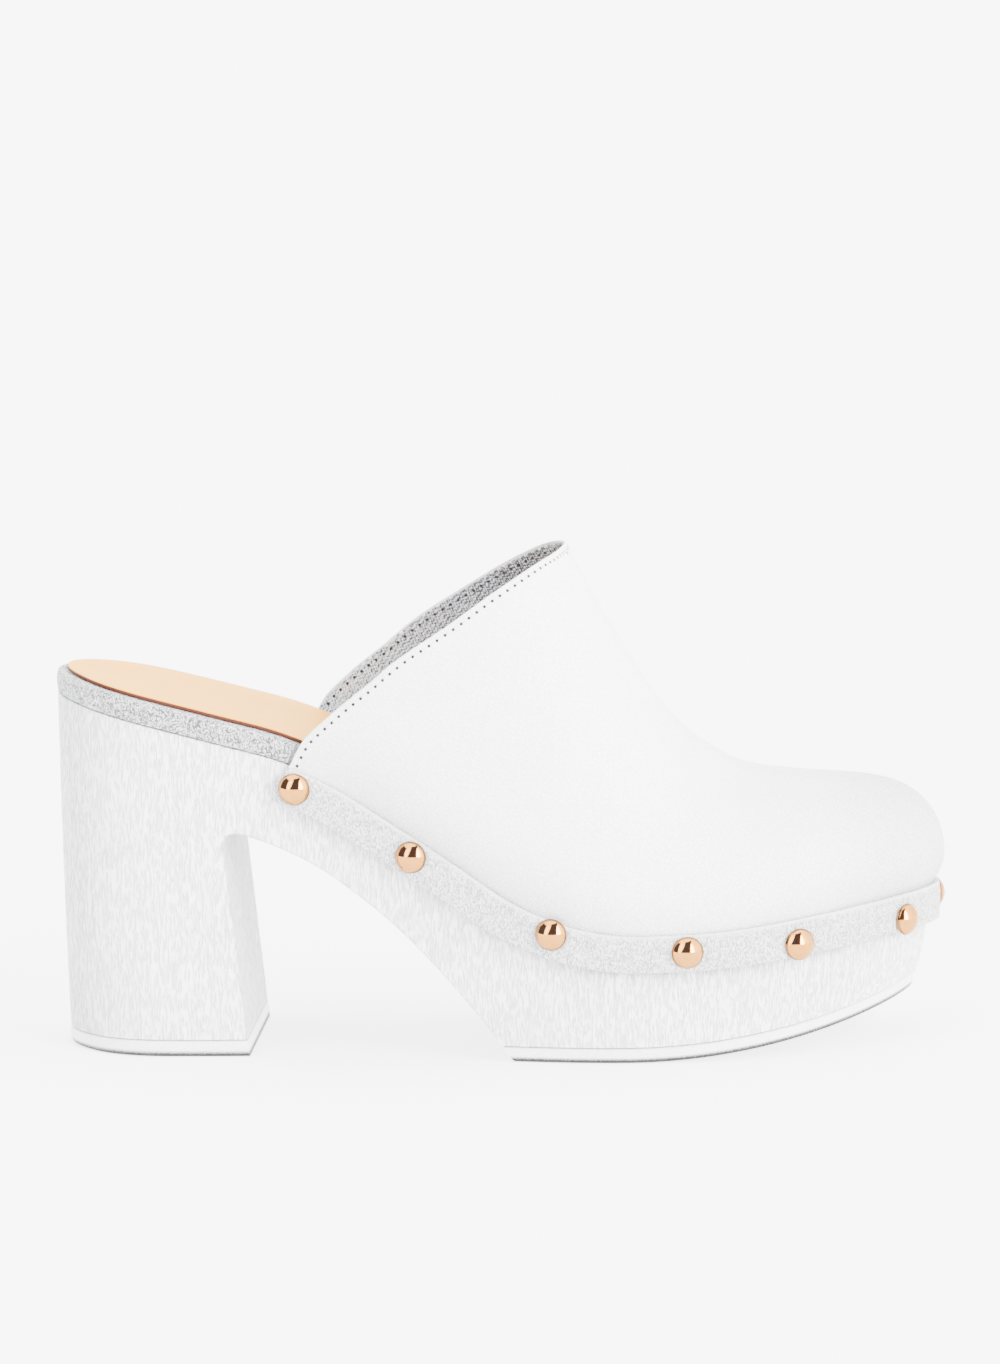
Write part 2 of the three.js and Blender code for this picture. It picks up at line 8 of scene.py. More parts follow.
import bmesh
import bpy
import numpy as np
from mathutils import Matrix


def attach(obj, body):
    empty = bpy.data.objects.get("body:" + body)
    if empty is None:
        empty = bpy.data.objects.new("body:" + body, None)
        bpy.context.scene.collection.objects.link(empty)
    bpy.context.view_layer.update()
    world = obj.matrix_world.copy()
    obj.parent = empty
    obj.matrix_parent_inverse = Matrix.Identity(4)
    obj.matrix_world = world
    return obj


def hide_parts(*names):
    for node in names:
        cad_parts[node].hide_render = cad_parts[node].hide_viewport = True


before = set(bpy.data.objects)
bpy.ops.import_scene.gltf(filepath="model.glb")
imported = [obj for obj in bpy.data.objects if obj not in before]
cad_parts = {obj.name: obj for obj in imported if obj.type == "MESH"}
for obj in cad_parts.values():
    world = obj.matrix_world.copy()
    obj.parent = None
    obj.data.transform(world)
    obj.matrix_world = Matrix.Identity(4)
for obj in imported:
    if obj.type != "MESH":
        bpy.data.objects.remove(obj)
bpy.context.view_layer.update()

# Lengths along the shoe
SOLE_LENGTH = 230.7
BREAST_TOP = 46.0
BREAST_FOOT = 51.6
PLATFORM_REAR = 122.0
SPRING_START = 152.0
SPINE_END = 213.0
TOE_FAN_START = 175.0
TOE_ROUND_START = 165.0
TOPLINE_REAR = 64.4
THROAT_REACH = 136.0
WAIST_END = 108.0

# Widths
HEEL_WIDTH = 63.0
BALL_WIDTH = 89.4
TOE_TIP_SHIFT = 5.0
RIDGE_SHIFT = 0.8
TOPLINE_HALF_WIDTH = 34.0

# Heights
HEEL_SEAT_HEIGHT = 94.6
PLATFORM_HEIGHT = 34.5
FEATHER_TOE_LIFT = 5.1
TOE_SPRING = 12.6
ARCH_HEIGHT = 59.5
ARCH_CORNER = 3.0
THROAT_HEIGHT = 131.8
TOE_BOX_HEIGHT = 68.5

# Thicknesses and clearances
SEAM = 0.3
OUTSOLE = 3.9
TOP_PIECE = 4.3
EDGE_INSET = 0.9
FOOTBED = 6.1
FOOTBED_EDGE = 1.6
SOCK = 1.0
SOCK_INSET = 2.8
UPPER_WALL = 1.3
LEATHER_WALL = 0.6
LASTING_MARGIN = 8.0
RAND_WALL = 1.3
RAND_WIDTH = 9.8
RAND_DROP = 0.2
RAND_END_LEAN = 3.1
RAND_INNER = 2 * SEAM + UPPER_WALL
RAND_OUTER = RAND_INNER + RAND_WALL

# Wall shapes
SIDE_TUCK = 1.1
TOE_TUCK = 4.4
TUCK_POWER = 2.5
UPPER_BULGE = 3.1
BULGE_RISE = 12.5
TOE_BULGE_RISE = 7.6
REAR_BULGE = 0.15
INSTEP_FULLNESS = 2.0
TOE_FULLNESS = 2.15
MEDIAL_RISE = 2.6

# Studs
STUD_RADIUS = 4.2
STUD_HEIGHT = 2.9
STUD_RIM = 0.5

# Place of the shoe's own zero point in the part's frame
ZERO = np.array([-117.7204, 1.7414, 0.0])

# Outline of the sole's top edge: share of the length, outer and inner half widths
OUTLINE = np.array([
    (0.007, 0.3, 0.3), (0.026, 0.565, 0.565), (0.056, 0.8, 0.8), (0.1, 0.95, 0.95),
    (0.173, 1.0, 1.0), (0.26, 1.015, 1.0), (0.347, 1.03, 0.965), (0.433, 1.032, 0.92),
    (0.52, 1.031, 0.89), (0.607, 1.043, 0.902), (0.672, 1.058, 0.922), (0.737, 1.038, 0.923),
    (0.8, 0.978, 0.888), (0.858, 0.868, 0.801), (0.91, 0.705, 0.663), (0.952, 0.501, 0.483),
    (0.984, 0.261, 0.254),
])
# Top edge of the sole: share of the length, share of the heel's extra height
FEATHER = [
    (0, 1), (0.1, 0.908), (0.2, 0.808), (0.27, 0.732), (0.33, 0.632), (0.4, 0.471),
    (0.47, 0.302), (0.53, 0.15), (0.59, 0.05), (0.65, 0.004), (0.7, 0), (1, 0),
]
# Ridge of the upper: share of the way from throat to ridge end, share of the throat's height
SPINE = [
    (-1.17, 1.46), (-0.42, 1.39), (-0.24, 1.3), (-0.104, 1.17), (0, 1.0), (0.097, 0.765),
    (0.199, 0.553), (0.307, 0.338), (0.409, 0.195), (0.535, 0.083), (0.631, 0.036),
    (0.78, 0.012), (0.93, 0), (1.08, -0.012),
]
# Underside of the waist: share of the way to the platform, share of the arch height
ARCH = [
    (0.06, 1), (0.187, 0.941), (0.321, 0.857), (0.454, 0.739), (0.584, 0.605),
    (0.709, 0.449), (0.817, 0.294), (0.914, 0.145), (1, 0),
]
# Topline from the rear corner to the throat: shares along and up, share of the inner rise
TOPLINE = [
    (0, 0, 0.3), (0.053, 0.138, 0.7), (0.148, 0.262, 0.85), (0.274, 0.4, 0.75),
    (0.408, 0.542, 0.7), (0.591, 0.699, 0.65), (0.771, 0.851, 0.4), (0.916, 0.957, 0.15),
    (1, 1, 0),
]
SIDES = LATERAL, MEDIAL = -1, 1
# Studs: name, side, share of the length, share of the rand's width
STUDS = [
    ("stud_lateral_1", LATERAL, 0.293, 0.47), ("stud_lateral_2", LATERAL, 0.43, 0.46),
    ("stud_lateral_3", LATERAL, 0.583, 0.32), ("stud_lateral_4", LATERAL, 0.727, 0.46),
    ("stud_lateral_5", LATERAL, 0.846, 0.66), ("stud_lateral_6", LATERAL, 0.963, 0.68),
    ("stud_toe", MEDIAL, 0.993, 0.45), ("stud_medial_6", MEDIAL, 0.927, 0.55),
    ("stud_medial_5", MEDIAL, 0.805, 0.55), ("stud_medial_4", MEDIAL, 0.67, 0.48),
    ("stud_medial_3", MEDIAL, 0.54, 0.42), ("stud_medial_2", MEDIAL, 0.415, 0.46),
    ("stud_medial_1", MEDIAL, 0.293, 0.47),
]


# Plain arithmetic on whole arrays

def lerp(a, b, t):
    """Straight from a to b as t goes from 0 to 1."""
    return a + (b - a) * t


def smoothstep(x, low, high):
    """0 up to low, 1 from high, and the cubic 3tt - 2ttt between."""
    t = np.clip((np.asarray(x, float) - low) / (high - low), 0.0, 1.0)
    return t * t * (3.0 - 2.0 * t)


def unit(vectors):
    """Vectors over their own lengths."""
    return vectors / np.maximum(np.linalg.norm(vectors, axis=-1, keepdims=True), 1e-12)


def smooth_table(rows, x):
    """Cubic pieces through the rows, each slope from the two neighbouring rows, level outside."""
    xs, ys = np.array(rows, float).T
    order = np.arange(len(xs))
    after, before = np.minimum(order + 1, order[-1]), np.maximum(order - 1, 0)
    slopes = (ys[after] - ys[before]) / (xs[after] - xs[before])
    x = np.clip(x, xs[0], xs[-1])
    i = np.clip(np.searchsorted(xs, x, side="right") - 1, 0, len(xs) - 2)
    h = xs[i + 1] - xs[i]
    t = (x - xs[i]) / h
    u = 1 - t
    ends = ys[i] * u * u * (1 + 2 * t) + ys[i + 1] * t * t * (3 - 2 * t)
    return ends + h * (slopes[i] * t * u * u - slopes[i + 1] * t * t * u)


def bell(x, width):
    """1 at 0, falling to both sides with the square of the way over the width."""
    return np.exp(-(x / width) ** 2)


def quarter(count):
    """Steps of a quarter circle: 1 less the cosine, and 1 less the sine."""
    turn = np.linspace(0, np.pi / 2, count)
    return 1 - np.cos(turn), 1 - np.sin(turn)


def lengths_along(points):
    """Length along a line of points from its start, or along each of many lines."""
    steps = np.linalg.norm(np.diff(points, axis=-2), axis=-1)
    return np.concatenate([np.zeros_like(steps[..., :1]), np.cumsum(steps, axis=-1)], -1)


def left_of(line):
    """Unit normals on the left of a flat line."""
    slope = unit(np.gradient(line, axis=0))
    return np.stack([-slope[:, 1], slope[:, 0]], 1)


def spline(knots, t, closed=False, spacing=0.5):
    """Catmull-Rom curve at t, 0 to 1: its points and unit slopes. Knot spans count as their
    length to the power spacing: 0.5 is centripetal, 0 uniform."""
    knots = np.asarray(knots, float)
    if closed:
        ring = np.concatenate([knots[-1:], knots, knots[:2]])
    else:
        ring = np.concatenate([2 * knots[:1] - knots[1:2], knots, 2 * knots[-1:] - knots[-2:-1]])
    count = len(ring) - 3
    t = np.asarray(t, float)
    p = (t % 1.0 if closed else t) * count
    i = np.clip(np.floor(p).astype(int), 0, count - 1)
    w = (p - i)[..., None]
    a, b, c, d = (ring[i + k] for k in range(4))
    r, s, v = (
        np.linalg.norm(q - p_, axis=-1, keepdims=True) ** spacing
        for p_, q in ((a, b), (b, c), (c, d))
    )
    m = ((b - a) / r - (c - a) / (r + s) + (c - b) / s) * s
    n = ((c - b) / s - (d - b) / (s + v) + (d - c) / v) * s
    cubic, square = 2 * (b - c) + m + n, 3 * (c - b) - 2 * m - n
    return ((cubic * w + square) * w + m) * w + b, unit((3 * cubic * w + 2 * square) * w + m)


def noise(points, seed):
    """Smooth random values from -1 to 1 with one lattice cell for each unit of the points."""
    points = np.asarray(points, float)
    cell = np.floor(points).astype(np.int64)
    f = points - cell
    f = f * f * (3 - 2 * f)
    total = np.zeros(points.shape[:-1])
    for corner in np.ndindex(2, 2, 2):
        key = ((cell + corner) * (73856093, 19349663, 83492791)).sum(-1) + seed * 2654435761
        key = (key ^ (key >> 13)) * 1274126177 % 4294967296
        key = (key ^ (key >> 16)) % 65536 / 32767.5 - 1.0
        total += key * np.where(np.array(corner) == 1, f, 1 - f).prod(-1)
    return total


# The shoe's own functions

def feather_height(x):
    """Height of the sole's top edge: platform plus a share of the heel's extra, plus toe lift."""
    rise = smooth_table(FEATHER, x / SOLE_LENGTH) * (HEEL_SEAT_HEIGHT - PLATFORM_HEIGHT)
    return PLATFORM_HEIGHT + rise + FEATHER_TOE_LIFT * smoothstep(x, TOE_ROUND_START, SOLE_LENGTH)


def spine_height(x):
    """Height of the upper's ridge: toe box plus a share of the way up to the throat."""
    at = (x - THROAT_REACH) / (SPINE_END - THROAT_REACH)
    return TOE_BOX_HEIGHT + smooth_table(SPINE, at) * (THROAT_HEIGHT - TOE_BOX_HEIGHT)


def tread_height(x):
    """The tread rises towards the toe with the square of the way from where it starts."""
    share = np.maximum(0.0, x - SPRING_START) / (SOLE_LENGTH - SPRING_START)
    return TOE_SPRING * share * share


def outline_knots():
    """The table's half widths, scaled from heel to ball and shifted at the toe, both sides."""
    at, outer, inner = OUTLINE.T
    half = lerp(HEEL_WIDTH / 2, BALL_WIDTH / 2, smoothstep(at, 0.26, 0.65))
    middle = TOE_TIP_SHIFT * smoothstep(at, 0.6, 1.0)
    lateral = np.stack([at * SOLE_LENGTH, middle - outer * half], 1)
    medial = np.stack([at * SOLE_LENGTH, middle + inner * half], 1)
    tips = [[[0.0, 0.0]], [[SOLE_LENGTH, TOE_TIP_SHIFT]]]
    return np.concatenate([tips[0], lateral, tips[1], medial[::-1]])


KNOTS = outline_knots()
TOE_STATION = len(KNOTS) // 2
HALF = 8000
PARAMETERS = np.linspace(0.0, 1.0, 2 * HALF + 1)
TRACE = spline(KNOTS, PARAMETERS, closed=True)[0]
LENGTHS = lengths_along(TRACE)
GIRTH = LENGTHS[-1]


def outline_point(t, offset):
    """The outline's point at parameter t, moved outwards by offset, and the outward direction."""
    point, slope = spline(KNOTS, t, closed=True)
    out = np.stack([slope[..., 1], -slope[..., 0]], -1)
    return point + out * np.asarray(offset, float)[..., None], out


def length_at(t):
    """Length along the shoe at an outline parameter."""
    return spline(KNOTS, t, closed=True)[0][..., 0]


def parameter_at(x, side):
    """Outline parameter where one side reaches a length x."""
    if side == LATERAL:
        return np.interp(x, TRACE[: HALF + 1, 0], PARAMETERS[: HALF + 1])
    return np.interp(x, TRACE[HALF:, 0][::-1], PARAMETERS[HALF:][::-1])


def at_height(xy, z):
    """Flat points with a height."""
    return np.concatenate([xy, np.broadcast_to(z, xy.shape[:-1])[..., None]], -1)


def tuck(x, down):
    """How far the sole's wall has drawn in, at a share of the way down to the tread."""
    most = lerp(SIDE_TUCK, TOE_TUCK, smoothstep(x, TOE_ROUND_START, SOLE_LENGTH))
    return most * np.clip(down, 0, 1) ** TUCK_POWER


# Meshes

RUNGS = 14  # steps across a flat face


def to_frame(points):
    """Shoe millimetres to metres in the part's frame."""
    return ((points + ZERO) / 1000.0).astype(np.float32)


def new_object(name, data):
    made = bpy.data.objects.new(name, data)
    bpy.context.scene.collection.objects.link(made)
    return made


class Skin:
    """Grids of points in shoe millimetres, welded into one closed mesh."""

    def __init__(self):
        self.points, self.faces, self.marks, self.count = [], [], [], 0

    def grid(self, points, marks=0.0):
        """Two triangles for each cell of a rows by columns grid; marks go to the points."""
        rows, columns = points.shape[:2]
        index = self.count + np.arange(rows * columns).reshape(rows, columns)
        a, b, c, d = index[:-1, :-1], index[:-1, 1:], index[1:, 1:], index[1:, :-1]
        for triple in ((a, b, c), (a, c, d)):
            self.faces.append(np.stack(triple, -1).reshape(-1, 3))
        self.points.append(points.reshape(-1, 3))
        self.marks.append(np.broadcast_to(marks, (rows, columns, 2)).reshape(-1, 2))
        self.count += rows * columns

    def across(self, first, second, steps=RUNGS, marks=0.0):
        """A flat strip of straight rungs from each point of one row to the other row's."""
        share = np.linspace(0, 1, steps + 1)[None, :, None]
        self.grid(lerp(first[:, None], second[:, None], share), marks=marks)

    def fan(self, ring):
        """Closes a ring of points with triangles to their middle."""
        around = np.concatenate([ring, ring[:1]])
        self.grid(np.stack([around, np.broadcast_to(ring.mean(0), around.shape)], 1))

    def piece(self, name, material, slot, replaced, sharp=60, marks=""):
        """The welded mesh as an object that rides with the shoe, in place of its CAD nodes."""
        points = np.concatenate(self.points)
        faces = np.concatenate(self.faces)
        values = np.concatenate(self.marks)
        keys = np.round(points * 2000).astype(np.int64)
        _, first, same = np.unique(keys, axis=0, return_index=True, return_inverse=True)
        faces = same.reshape(-1)[faces]
        whole = (faces != np.roll(faces, 1, axis=1)).all(1)
        _, once = np.unique(np.sort(faces[whole], 1), axis=0, return_index=True)
        faces = faces[whole][np.sort(once)]
        mesh = bpy.data.meshes.new(name)
        mesh.vertices.add(len(first))
        mesh.vertices.foreach_set("co", to_frame(points[first]).ravel())
        mesh.loops.add(faces.size)
        mesh.loops.foreach_set("vertex_index", faces.astype(np.int32).ravel())
        mesh.polygons.add(len(faces))
        mesh.polygons.foreach_set("loop_start", np.arange(0, faces.size, 3, dtype=np.int32))
        mesh.update(calc_edges=True)
        if marks:
            layer = mesh.attributes.new(marks, "FLOAT2", "POINT")
            layer.data.foreach_set("vector", values[first].astype(np.float32).ravel())
        shell = bmesh.new()
        shell.from_mesh(mesh)
        bmesh.ops.recalc_face_normals(shell, faces=shell.faces)
        shell.to_mesh(mesh)
        shell.free()
        mesh.polygons.foreach_set("use_smooth", np.ones(len(mesh.polygons), bool))
        mesh.set_sharp_from_angle(angle=np.radians(sharp))
        mesh.materials.append(material)
        piece = new_object(name, mesh)
        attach(piece, "root")
        if replaced:
            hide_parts(*replaced)


# Materials

def wire(tree, node, values):
    """Each value, by the input's name or number, is a number, a colour or another node's output."""
    for name, value in values.items():
        by_name = (s for s in node.inputs if s.name == name and s.enabled)
        target = node.inputs[name] if isinstance(name, int) else next(by_name)
        if isinstance(value, bpy.types.NodeSocket):
            tree.links.new(value, target)
        else:
            target.default_value = value


def add(tree, kind, values, **settings):
    """Outputs of a new node with these settings and values."""
    node = tree.nodes.new("ShaderNode" + kind)
    for key, value in settings.items():
        setattr(node, key, value)
    wire(tree, node, values)
    return node.outputs


def math(tree, operation, *values, clamp=False):
    return add(tree, "Math", dict(enumerate(values)), operation=operation, use_clamp=clamp)[0]


def times(tree, vector, factors):
    return add(tree, "VectorMath", {0: vector, 1: factors}, operation="MULTIPLY")[0]


def ranged(tree, value, low, high, to_low=0.0, to_high=1.0, soft=False):
    """A value carried from one range to another, evenly or with a soft start and end."""
    return add(tree, "MapRange", {
        "Value": value, "From Min": low, "From Max": high, "To Min": to_low, "To Max": to_high},
        interpolation_type="SMOOTHSTEP" if soft else "LINEAR")[0]


def cloud(tree, where, scale, detail, roughness=0.5, distortion=0.0):
    return add(tree, "TexNoise", {
        "Vector": where, "Scale": scale, "Detail": detail, "Roughness": roughness,
        "Distortion": distortion})


def blend(tree, share, first, second):
    return add(tree, "Mix", {"Factor": share, "A": first, "B": second}, data_type="RGBA")[2]


def group(build, inputs, outputs, kind):
    """An effect as a node group, called after its function. An input is None for a vector, a
    number or a colour; the outputs are all of one kind."""
    tree = bpy.data.node_groups.new(build.__name__, "ShaderNodeTree")
    for label, value in inputs.items():
        given = {float: "Float", tuple: "Color"}.get(type(value), "Vector")
        made = tree.interface.new_socket(label, in_out="INPUT", socket_type="NodeSocket" + given)
        if value is not None:
            made.default_value = value
    for label in outputs:
        tree.interface.new_socket(label, in_out="OUTPUT", socket_type="NodeSocket" + kind)
    results = build(tree, tree.nodes.new("NodeGroupInput").outputs)
    ready = tree.nodes.new("NodeGroupOutput")
    for label, result in zip(outputs, results):
        tree.links.new(result, ready.inputs[label])
    return tree


def leather_grain(tree, given):
    """Pebbles between cell borders, with a fine noise on top; height rises on each pebble."""
    cells = add(tree, "TexVoronoi", {"Vector": given["Vector"], "Scale": given["Scale"]},
                feature="DISTANCE_TO_EDGE")["Distance"]
    pebble = ranged(tree, cells, 0.0, 0.22)
    finer = math(tree, "MULTIPLY", given["Scale"], 2.7)
    fine = cloud(tree, given["Vector"], finer, 3.0, 0.6)["Fac"]
    height = math(tree, "MULTIPLY_ADD", fine, given["Fine"], pebble)
    return height, math(tree, "SUBTRACT", 1.0, pebble, clamp=True)


def upright_streaks(tree, given):
    """Noise drawn out along the height, as in cut wood: narrow grooves with ragged ends."""
    drawn = times(tree, given["Vector"], (1.0, 1.0, 0.16))
    bend = cloud(tree, drawn, 0.4, 1.0)["Color"]
    moved = add(tree, "VectorMath", {0: bend, 1: (1.6, 1.6, 0.0), 2: drawn},
                operation="MULTIPLY_ADD")[0]
    wide = cloud(tree, moved, given["Scale"], 2.0, 0.55)["Fac"]
    fine = cloud(tree, moved, math(tree, "MULTIPLY", given["Scale"], 3.1), 2.0, 0.7)["Fac"]
    ridge = ranged(tree, wide, 0.34, 0.56, soft=True)
    height = math(tree, "MULTIPLY_ADD", fine, 0.5, ridge)
    return height, math(tree, "SUBTRACT", 1.0, ridge, clamp=True)


def tone(tree, given):
    """Two near colours in broad soft patches, darkened where the mask says so."""
    patch = cloud(tree, given["Vector"], given["Scale"], 3.0, 0.55)["Fac"]
    base = blend(tree, ranged(tree, patch, 0.35, 0.65), given["Colour"], given["Other"])
    return [blend(tree, given["Mask"], base, given["Dark"])]


def tint(colour):
    """A linear colour from three values, or a grey from one."""
    return (*np.broadcast_to(colour, 3).tolist(), 1.0)


GRAIN = group(leather_grain, {"Vector": None, "Scale": 1.0, "Fine": 0.5}, ["Height", "Pit"],
              "Float")
STREAKS = group(upright_streaks, {"Vector": None, "Scale": 1.0}, ["Height", "Groove"], "Float")
TONE = group(tone, {"Vector": None, "Scale": 0.1, "Colour": tint(1.0), "Other": tint(1.0),
                    "Dark": tint(0.0), "Mask": 0.0}, ["Colour"], "Color")


def placed(tree, effect, where, scale, **values):
    return add(tree, "Group", {"Vector": where, "Scale": scale, **values}, node_tree=effect)


def marks_of(tree, name):
    """The two values that a mesh carries at its points under this name."""
    given = add(tree, "Attribute", {}, attribute_name=name)["Vector"]
    return add(tree, "SeparateXYZ", {"Vector": given})


def surface(tree, where, patches, colours, mask, bump=None, gloss=None):
    """What feeds a shader: soft patches of two colours, darkened to a third by the mask. bump
    is a height and its depth in millimetres, gloss a mask and the roughness at its 0 and 1."""
    first, other, dark = map(tint, colours)
    fed = {"Base Color": placed(tree, TONE, where, patches, Colour=first, Other=other, Dark=dark,
                                Mask=mask)[0]}
    if bump:
        height, depth = bump
        fed["Normal"] = add(tree, "Bump", {
            "Height": height, "Strength": 1.0, "Distance": depth / 1000.0})[0]
    if gloss:
        spread, low, high = gloss
        fed["Roughness"] = ranged(tree, spread, 0.0, 1.0, low, high)
    return fed


def material(name, build=None, *own, **plain):
    """A material whose constants sit on the shader's own sockets; build wires what varies over
    the surface, measured in millimetres, from values of its own."""
    made = bpy.data.materials.new(name)
    made.use_nodes = True
    tree = made.node_tree
    shader = tree.nodes["Principled BSDF"]
    wire(tree, shader, {label.replace("_", " "): value for label, value in plain.items()})
    if build:
        where = add(tree, "TexCoord", {})["Object"]
        millimetres = add(tree, "Mapping", {"Vector": where, "Scale": (1000, 1000, 1000)})[0]
        wire(tree, shader, build(tree, millimetres, *own))
    return made


def upper_leather(tree, where):
    """Smooth corrected-grain leather. The mark is painted shade, above the rand and elsewhere."""
    grain = placed(tree, GRAIN, where, 1.0, Fine=1.1)
    # grain pits darkened, plus the mark: painted shade on the leather
    fleck_and_mark = math(tree, "MULTIPLY_ADD", grain["Pit"], 0.3, marks_of(tree, "shade")["X"])
    return surface(tree, where, 0.05, [0.96, (0.93, 0.935, 0.935), (0.42, 0.425, 0.43)], fleck_and_mark,
                   (grain["Height"], 0.11), (grain["Pit"], 0.42, 0.6))


def sole_plastic(tree, where):
    """Moulded plastic with a cut-wood surface. The mark is painted shade under the rand and
    elsewhere.
    """
    streaks = placed(tree, STREAKS, where, 2.0)
    # streak grooves, plus the mark: painted shade on the sole
    lines = math(tree, "MULTIPLY_ADD", streaks["Groove"], 0.4, marks_of(tree, "shade")["X"])
    return surface(tree, where, 0.04, [(0.88, 0.88, 0.875), (0.83, 0.83, 0.822),
                   (0.3, 0.3, 0.295)], lines, (streaks["Height"], 0.4),
                   (streaks["Groove"], 0.3, 0.62))


def tread_plastic(tree, where):
    """Smooth plastic. The marks are a painted contact shadow along the lowest edge, and the
    underside, which has fine cross grooves."""
    marks = marks_of(tree, "edge_shadow_and_underside")
    grain = placed(tree, GRAIN, where, 1.6, Fine=1.0)
    grooves = add(tree, "TexWave", {"Vector": where, "Scale": 0.12, "Distortion": 0.6},
                  bands_direction="X")["Fac"]
    under = math(tree, "MULTIPLY", grooves, marks["Y"])
    # painted contact shadow on the lowest edge, and the underside's darker grooves
    edge_shadow_and_underside = math(tree, "MAXIMUM", marks["X"], math(tree, "MULTIPLY", under, 0.5))
    dark = math(tree, "MULTIPLY_ADD", grain["Pit"], 0.16, edge_shadow_and_underside)
    height = math(tree, "MULTIPLY_ADD", grain["Height"], 0.1, under)
    return surface(tree, where, 0.08, [0.85, (0.8, 0.8, 0.792), 0.02], dark, (height, 0.5),
                   (grain["Pit"], 0.36, 0.55))


def crinkled(tree, where, upright, scale, depth, colours, gloss, line):
    """Crinkled skin: short wrinkles from folded noise, drawn out upwards, with flecks of light and
    dark. The mark named line paints shade along a line with its first value, and with its second
    keeps an edge clear of dark flecks, a painted highlight."""
    marks = marks_of(tree, line)
    drawn = times(tree, where, (1.0, 1.0, upright))
    wrinkle = cloud(tree, drawn, scale, 3.0, 0.75, 0.9)["Fac"]
    pores = add(tree, "TexVoronoi", {"Vector": drawn, "Scale": scale * 1.5})["Distance"]
    height = math(tree, "SUBTRACT", math(tree, "MULTIPLY", wrinkle, 2.0), pores)
    # the mark's second value keeps an edge clear of dark flecks: a painted highlight
    off_highlight = math(tree, "SUBTRACT", 1.0, marks["Y"], clamp=True)
    folds = math(tree, "MULTIPLY", ranged(tree, height, 0.95, 0.15, soft=True), off_highlight)
    shade = math(tree, "MAXIMUM", folds, marks["X"])
    return surface(tree, drawn, 0.35, colours, shade, (height, depth), (shade, gloss, 0.8))


def sock_skin(tree, where):
    """Tan leather; the mark is 1 on the cut edge, which is inked dark brown."""
    grain = placed(tree, GRAIN, where, 1.6, Fine=0.9)
    fleck_and_mark = math(tree, "MULTIPLY_ADD", grain["Pit"], 0.03, marks_of(tree, "edge")["X"])
    return surface(tree, where, 0.05, [(0.73, 0.35, 0.03), (0.69, 0.315, 0.02),
                   (0.07, 0.02, 0.012)], fleck_and_mark, (grain["Height"], 0.04),
                   (grain["Pit"], 0.4, 0.55))


KNIT_ROW = 1.25
KNIT_COLUMN = 0.95


def lining_cloth(tree, where):
    """Knitted mesh: rows of loops along the topline, worked out from the piece's own lengths in
    millimetres, with a dark gap between each loop and the next. The gaps grow towards the front,
    deeper in the shoe, as painted shade."""
    place = marks_of(tree, "lay")
    row = math(tree, "MULTIPLY", place["Y"], 2 * np.pi / KNIT_ROW)
    column = math(tree, "MULTIPLY", place["X"], 2 * np.pi / KNIT_COLUMN)
    sway = math(tree, "SINE", math(tree, "MULTIPLY", row, 0.5))
    shifted = math(tree, "MULTIPLY_ADD", sway, 1.6, column)
    loops = math(tree, "MULTIPLY", math(tree, "SINE", row), math(tree, "SINE", shifted))
    fuzz = cloud(tree, where, 1.6, 3.0, 0.8)["Fac"]
    height = math(tree, "MULTIPLY_ADD", fuzz, 4.5, math(tree, "MULTIPLY", loops, 0.8))
    # painted shade: the dark gaps grow towards the front, deeper in the shoe
    painted_shade_level = ranged(tree, place["X"], 72.0, 126.0, 2.25, 3.0)
    gaps = math(tree, "MULTIPLY", math(tree, "SUBTRACT", painted_shade_level, height), 1.3, clamp=True)
    return surface(tree, where, 0.9, [(0.78, 0.87, 0.96), (0.5, 0.56, 0.63),
                   (0.03, 0.034, 0.038)], gaps, (height, 0.12))


def stud_metal(tree, where):
    """Plated metal: a soft mottle of gloss and colour, with painted shade along the turned rim."""
    mottle = cloud(tree, where, 1.5, 4.0, 0.6)["Fac"]
    return surface(tree, where, 0.5, [(0.5, 0.225, 0.055), (0.46, 0.2, 0.045),
                   (0.12, 0.05, 0.025)], marks_of(tree, "rim_shade")["X"], (mottle, 0.006),
                   (mottle, 0.03, 0.11))


def thread(tree, where):
    """White thread with a fine slanting twist."""
    twist = add(tree, "TexWave", {"Vector": where, "Scale": 2.0, "Distortion": 1.0},
                bands_direction="DIAGONAL")["Fac"]
    return surface(tree, where, 0.8, [0.95, 0.9, 0.6], math(tree, "MULTIPLY", twist, 0.3),
                   (twist, 0.05))


def needle_shadow(tree, where):
    """Near black, softly mottled."""
    soft = math(tree, "MULTIPLY", cloud(tree, where, 2.0, 1.0)["Fac"], 0.4)
    return surface(tree, where, 1.0, [0.03, 0.02, 0.01], soft)


WHITE_LEATHER = material("white_leather", upper_leather, Roughness=0.5)
WHITE_SOLE = material("white_sole", sole_plastic, Roughness=0.45)
WHITE_TREAD = material("white_tread", tread_plastic, Roughness=0.45, Specular_IOR_Level=0.2)
# the rand's edge mark: painted shade on its lower edge, painted highlight on its top edge
RAND_LEATHER = material("crinkled_white_leather", crinkled, 0.5, 1.8, 0.5, [
    0.97, (0.92, 0.93, 0.92), (0.38, 0.385, 0.38)], 0.2, "edge", Roughness=0.6)
GREY_SUEDE = material("grey_suede", crinkled, 0.8, 1.5, 0.3, [
    (0.76, 0.765, 0.75), (0.54, 0.545, 0.53), (0.06, 0.062, 0.06)], 0.5, "rim_line",
    Roughness=0.8, Sheen_Weight=0.3)
TAN_LEATHER = material("tan_leather", sock_skin, Roughness=0.45, Specular_IOR_Level=0.08)
GREY_MESH = material("grey_mesh", lining_cloth, Roughness=0.85, Sheen_Weight=0.2)
ROSE_GOLD = material("rose_gold", stud_metal, Metallic=1.0, Roughness=0.12)
WHITE_THREAD = material("white_thread", thread, Roughness=0.7)
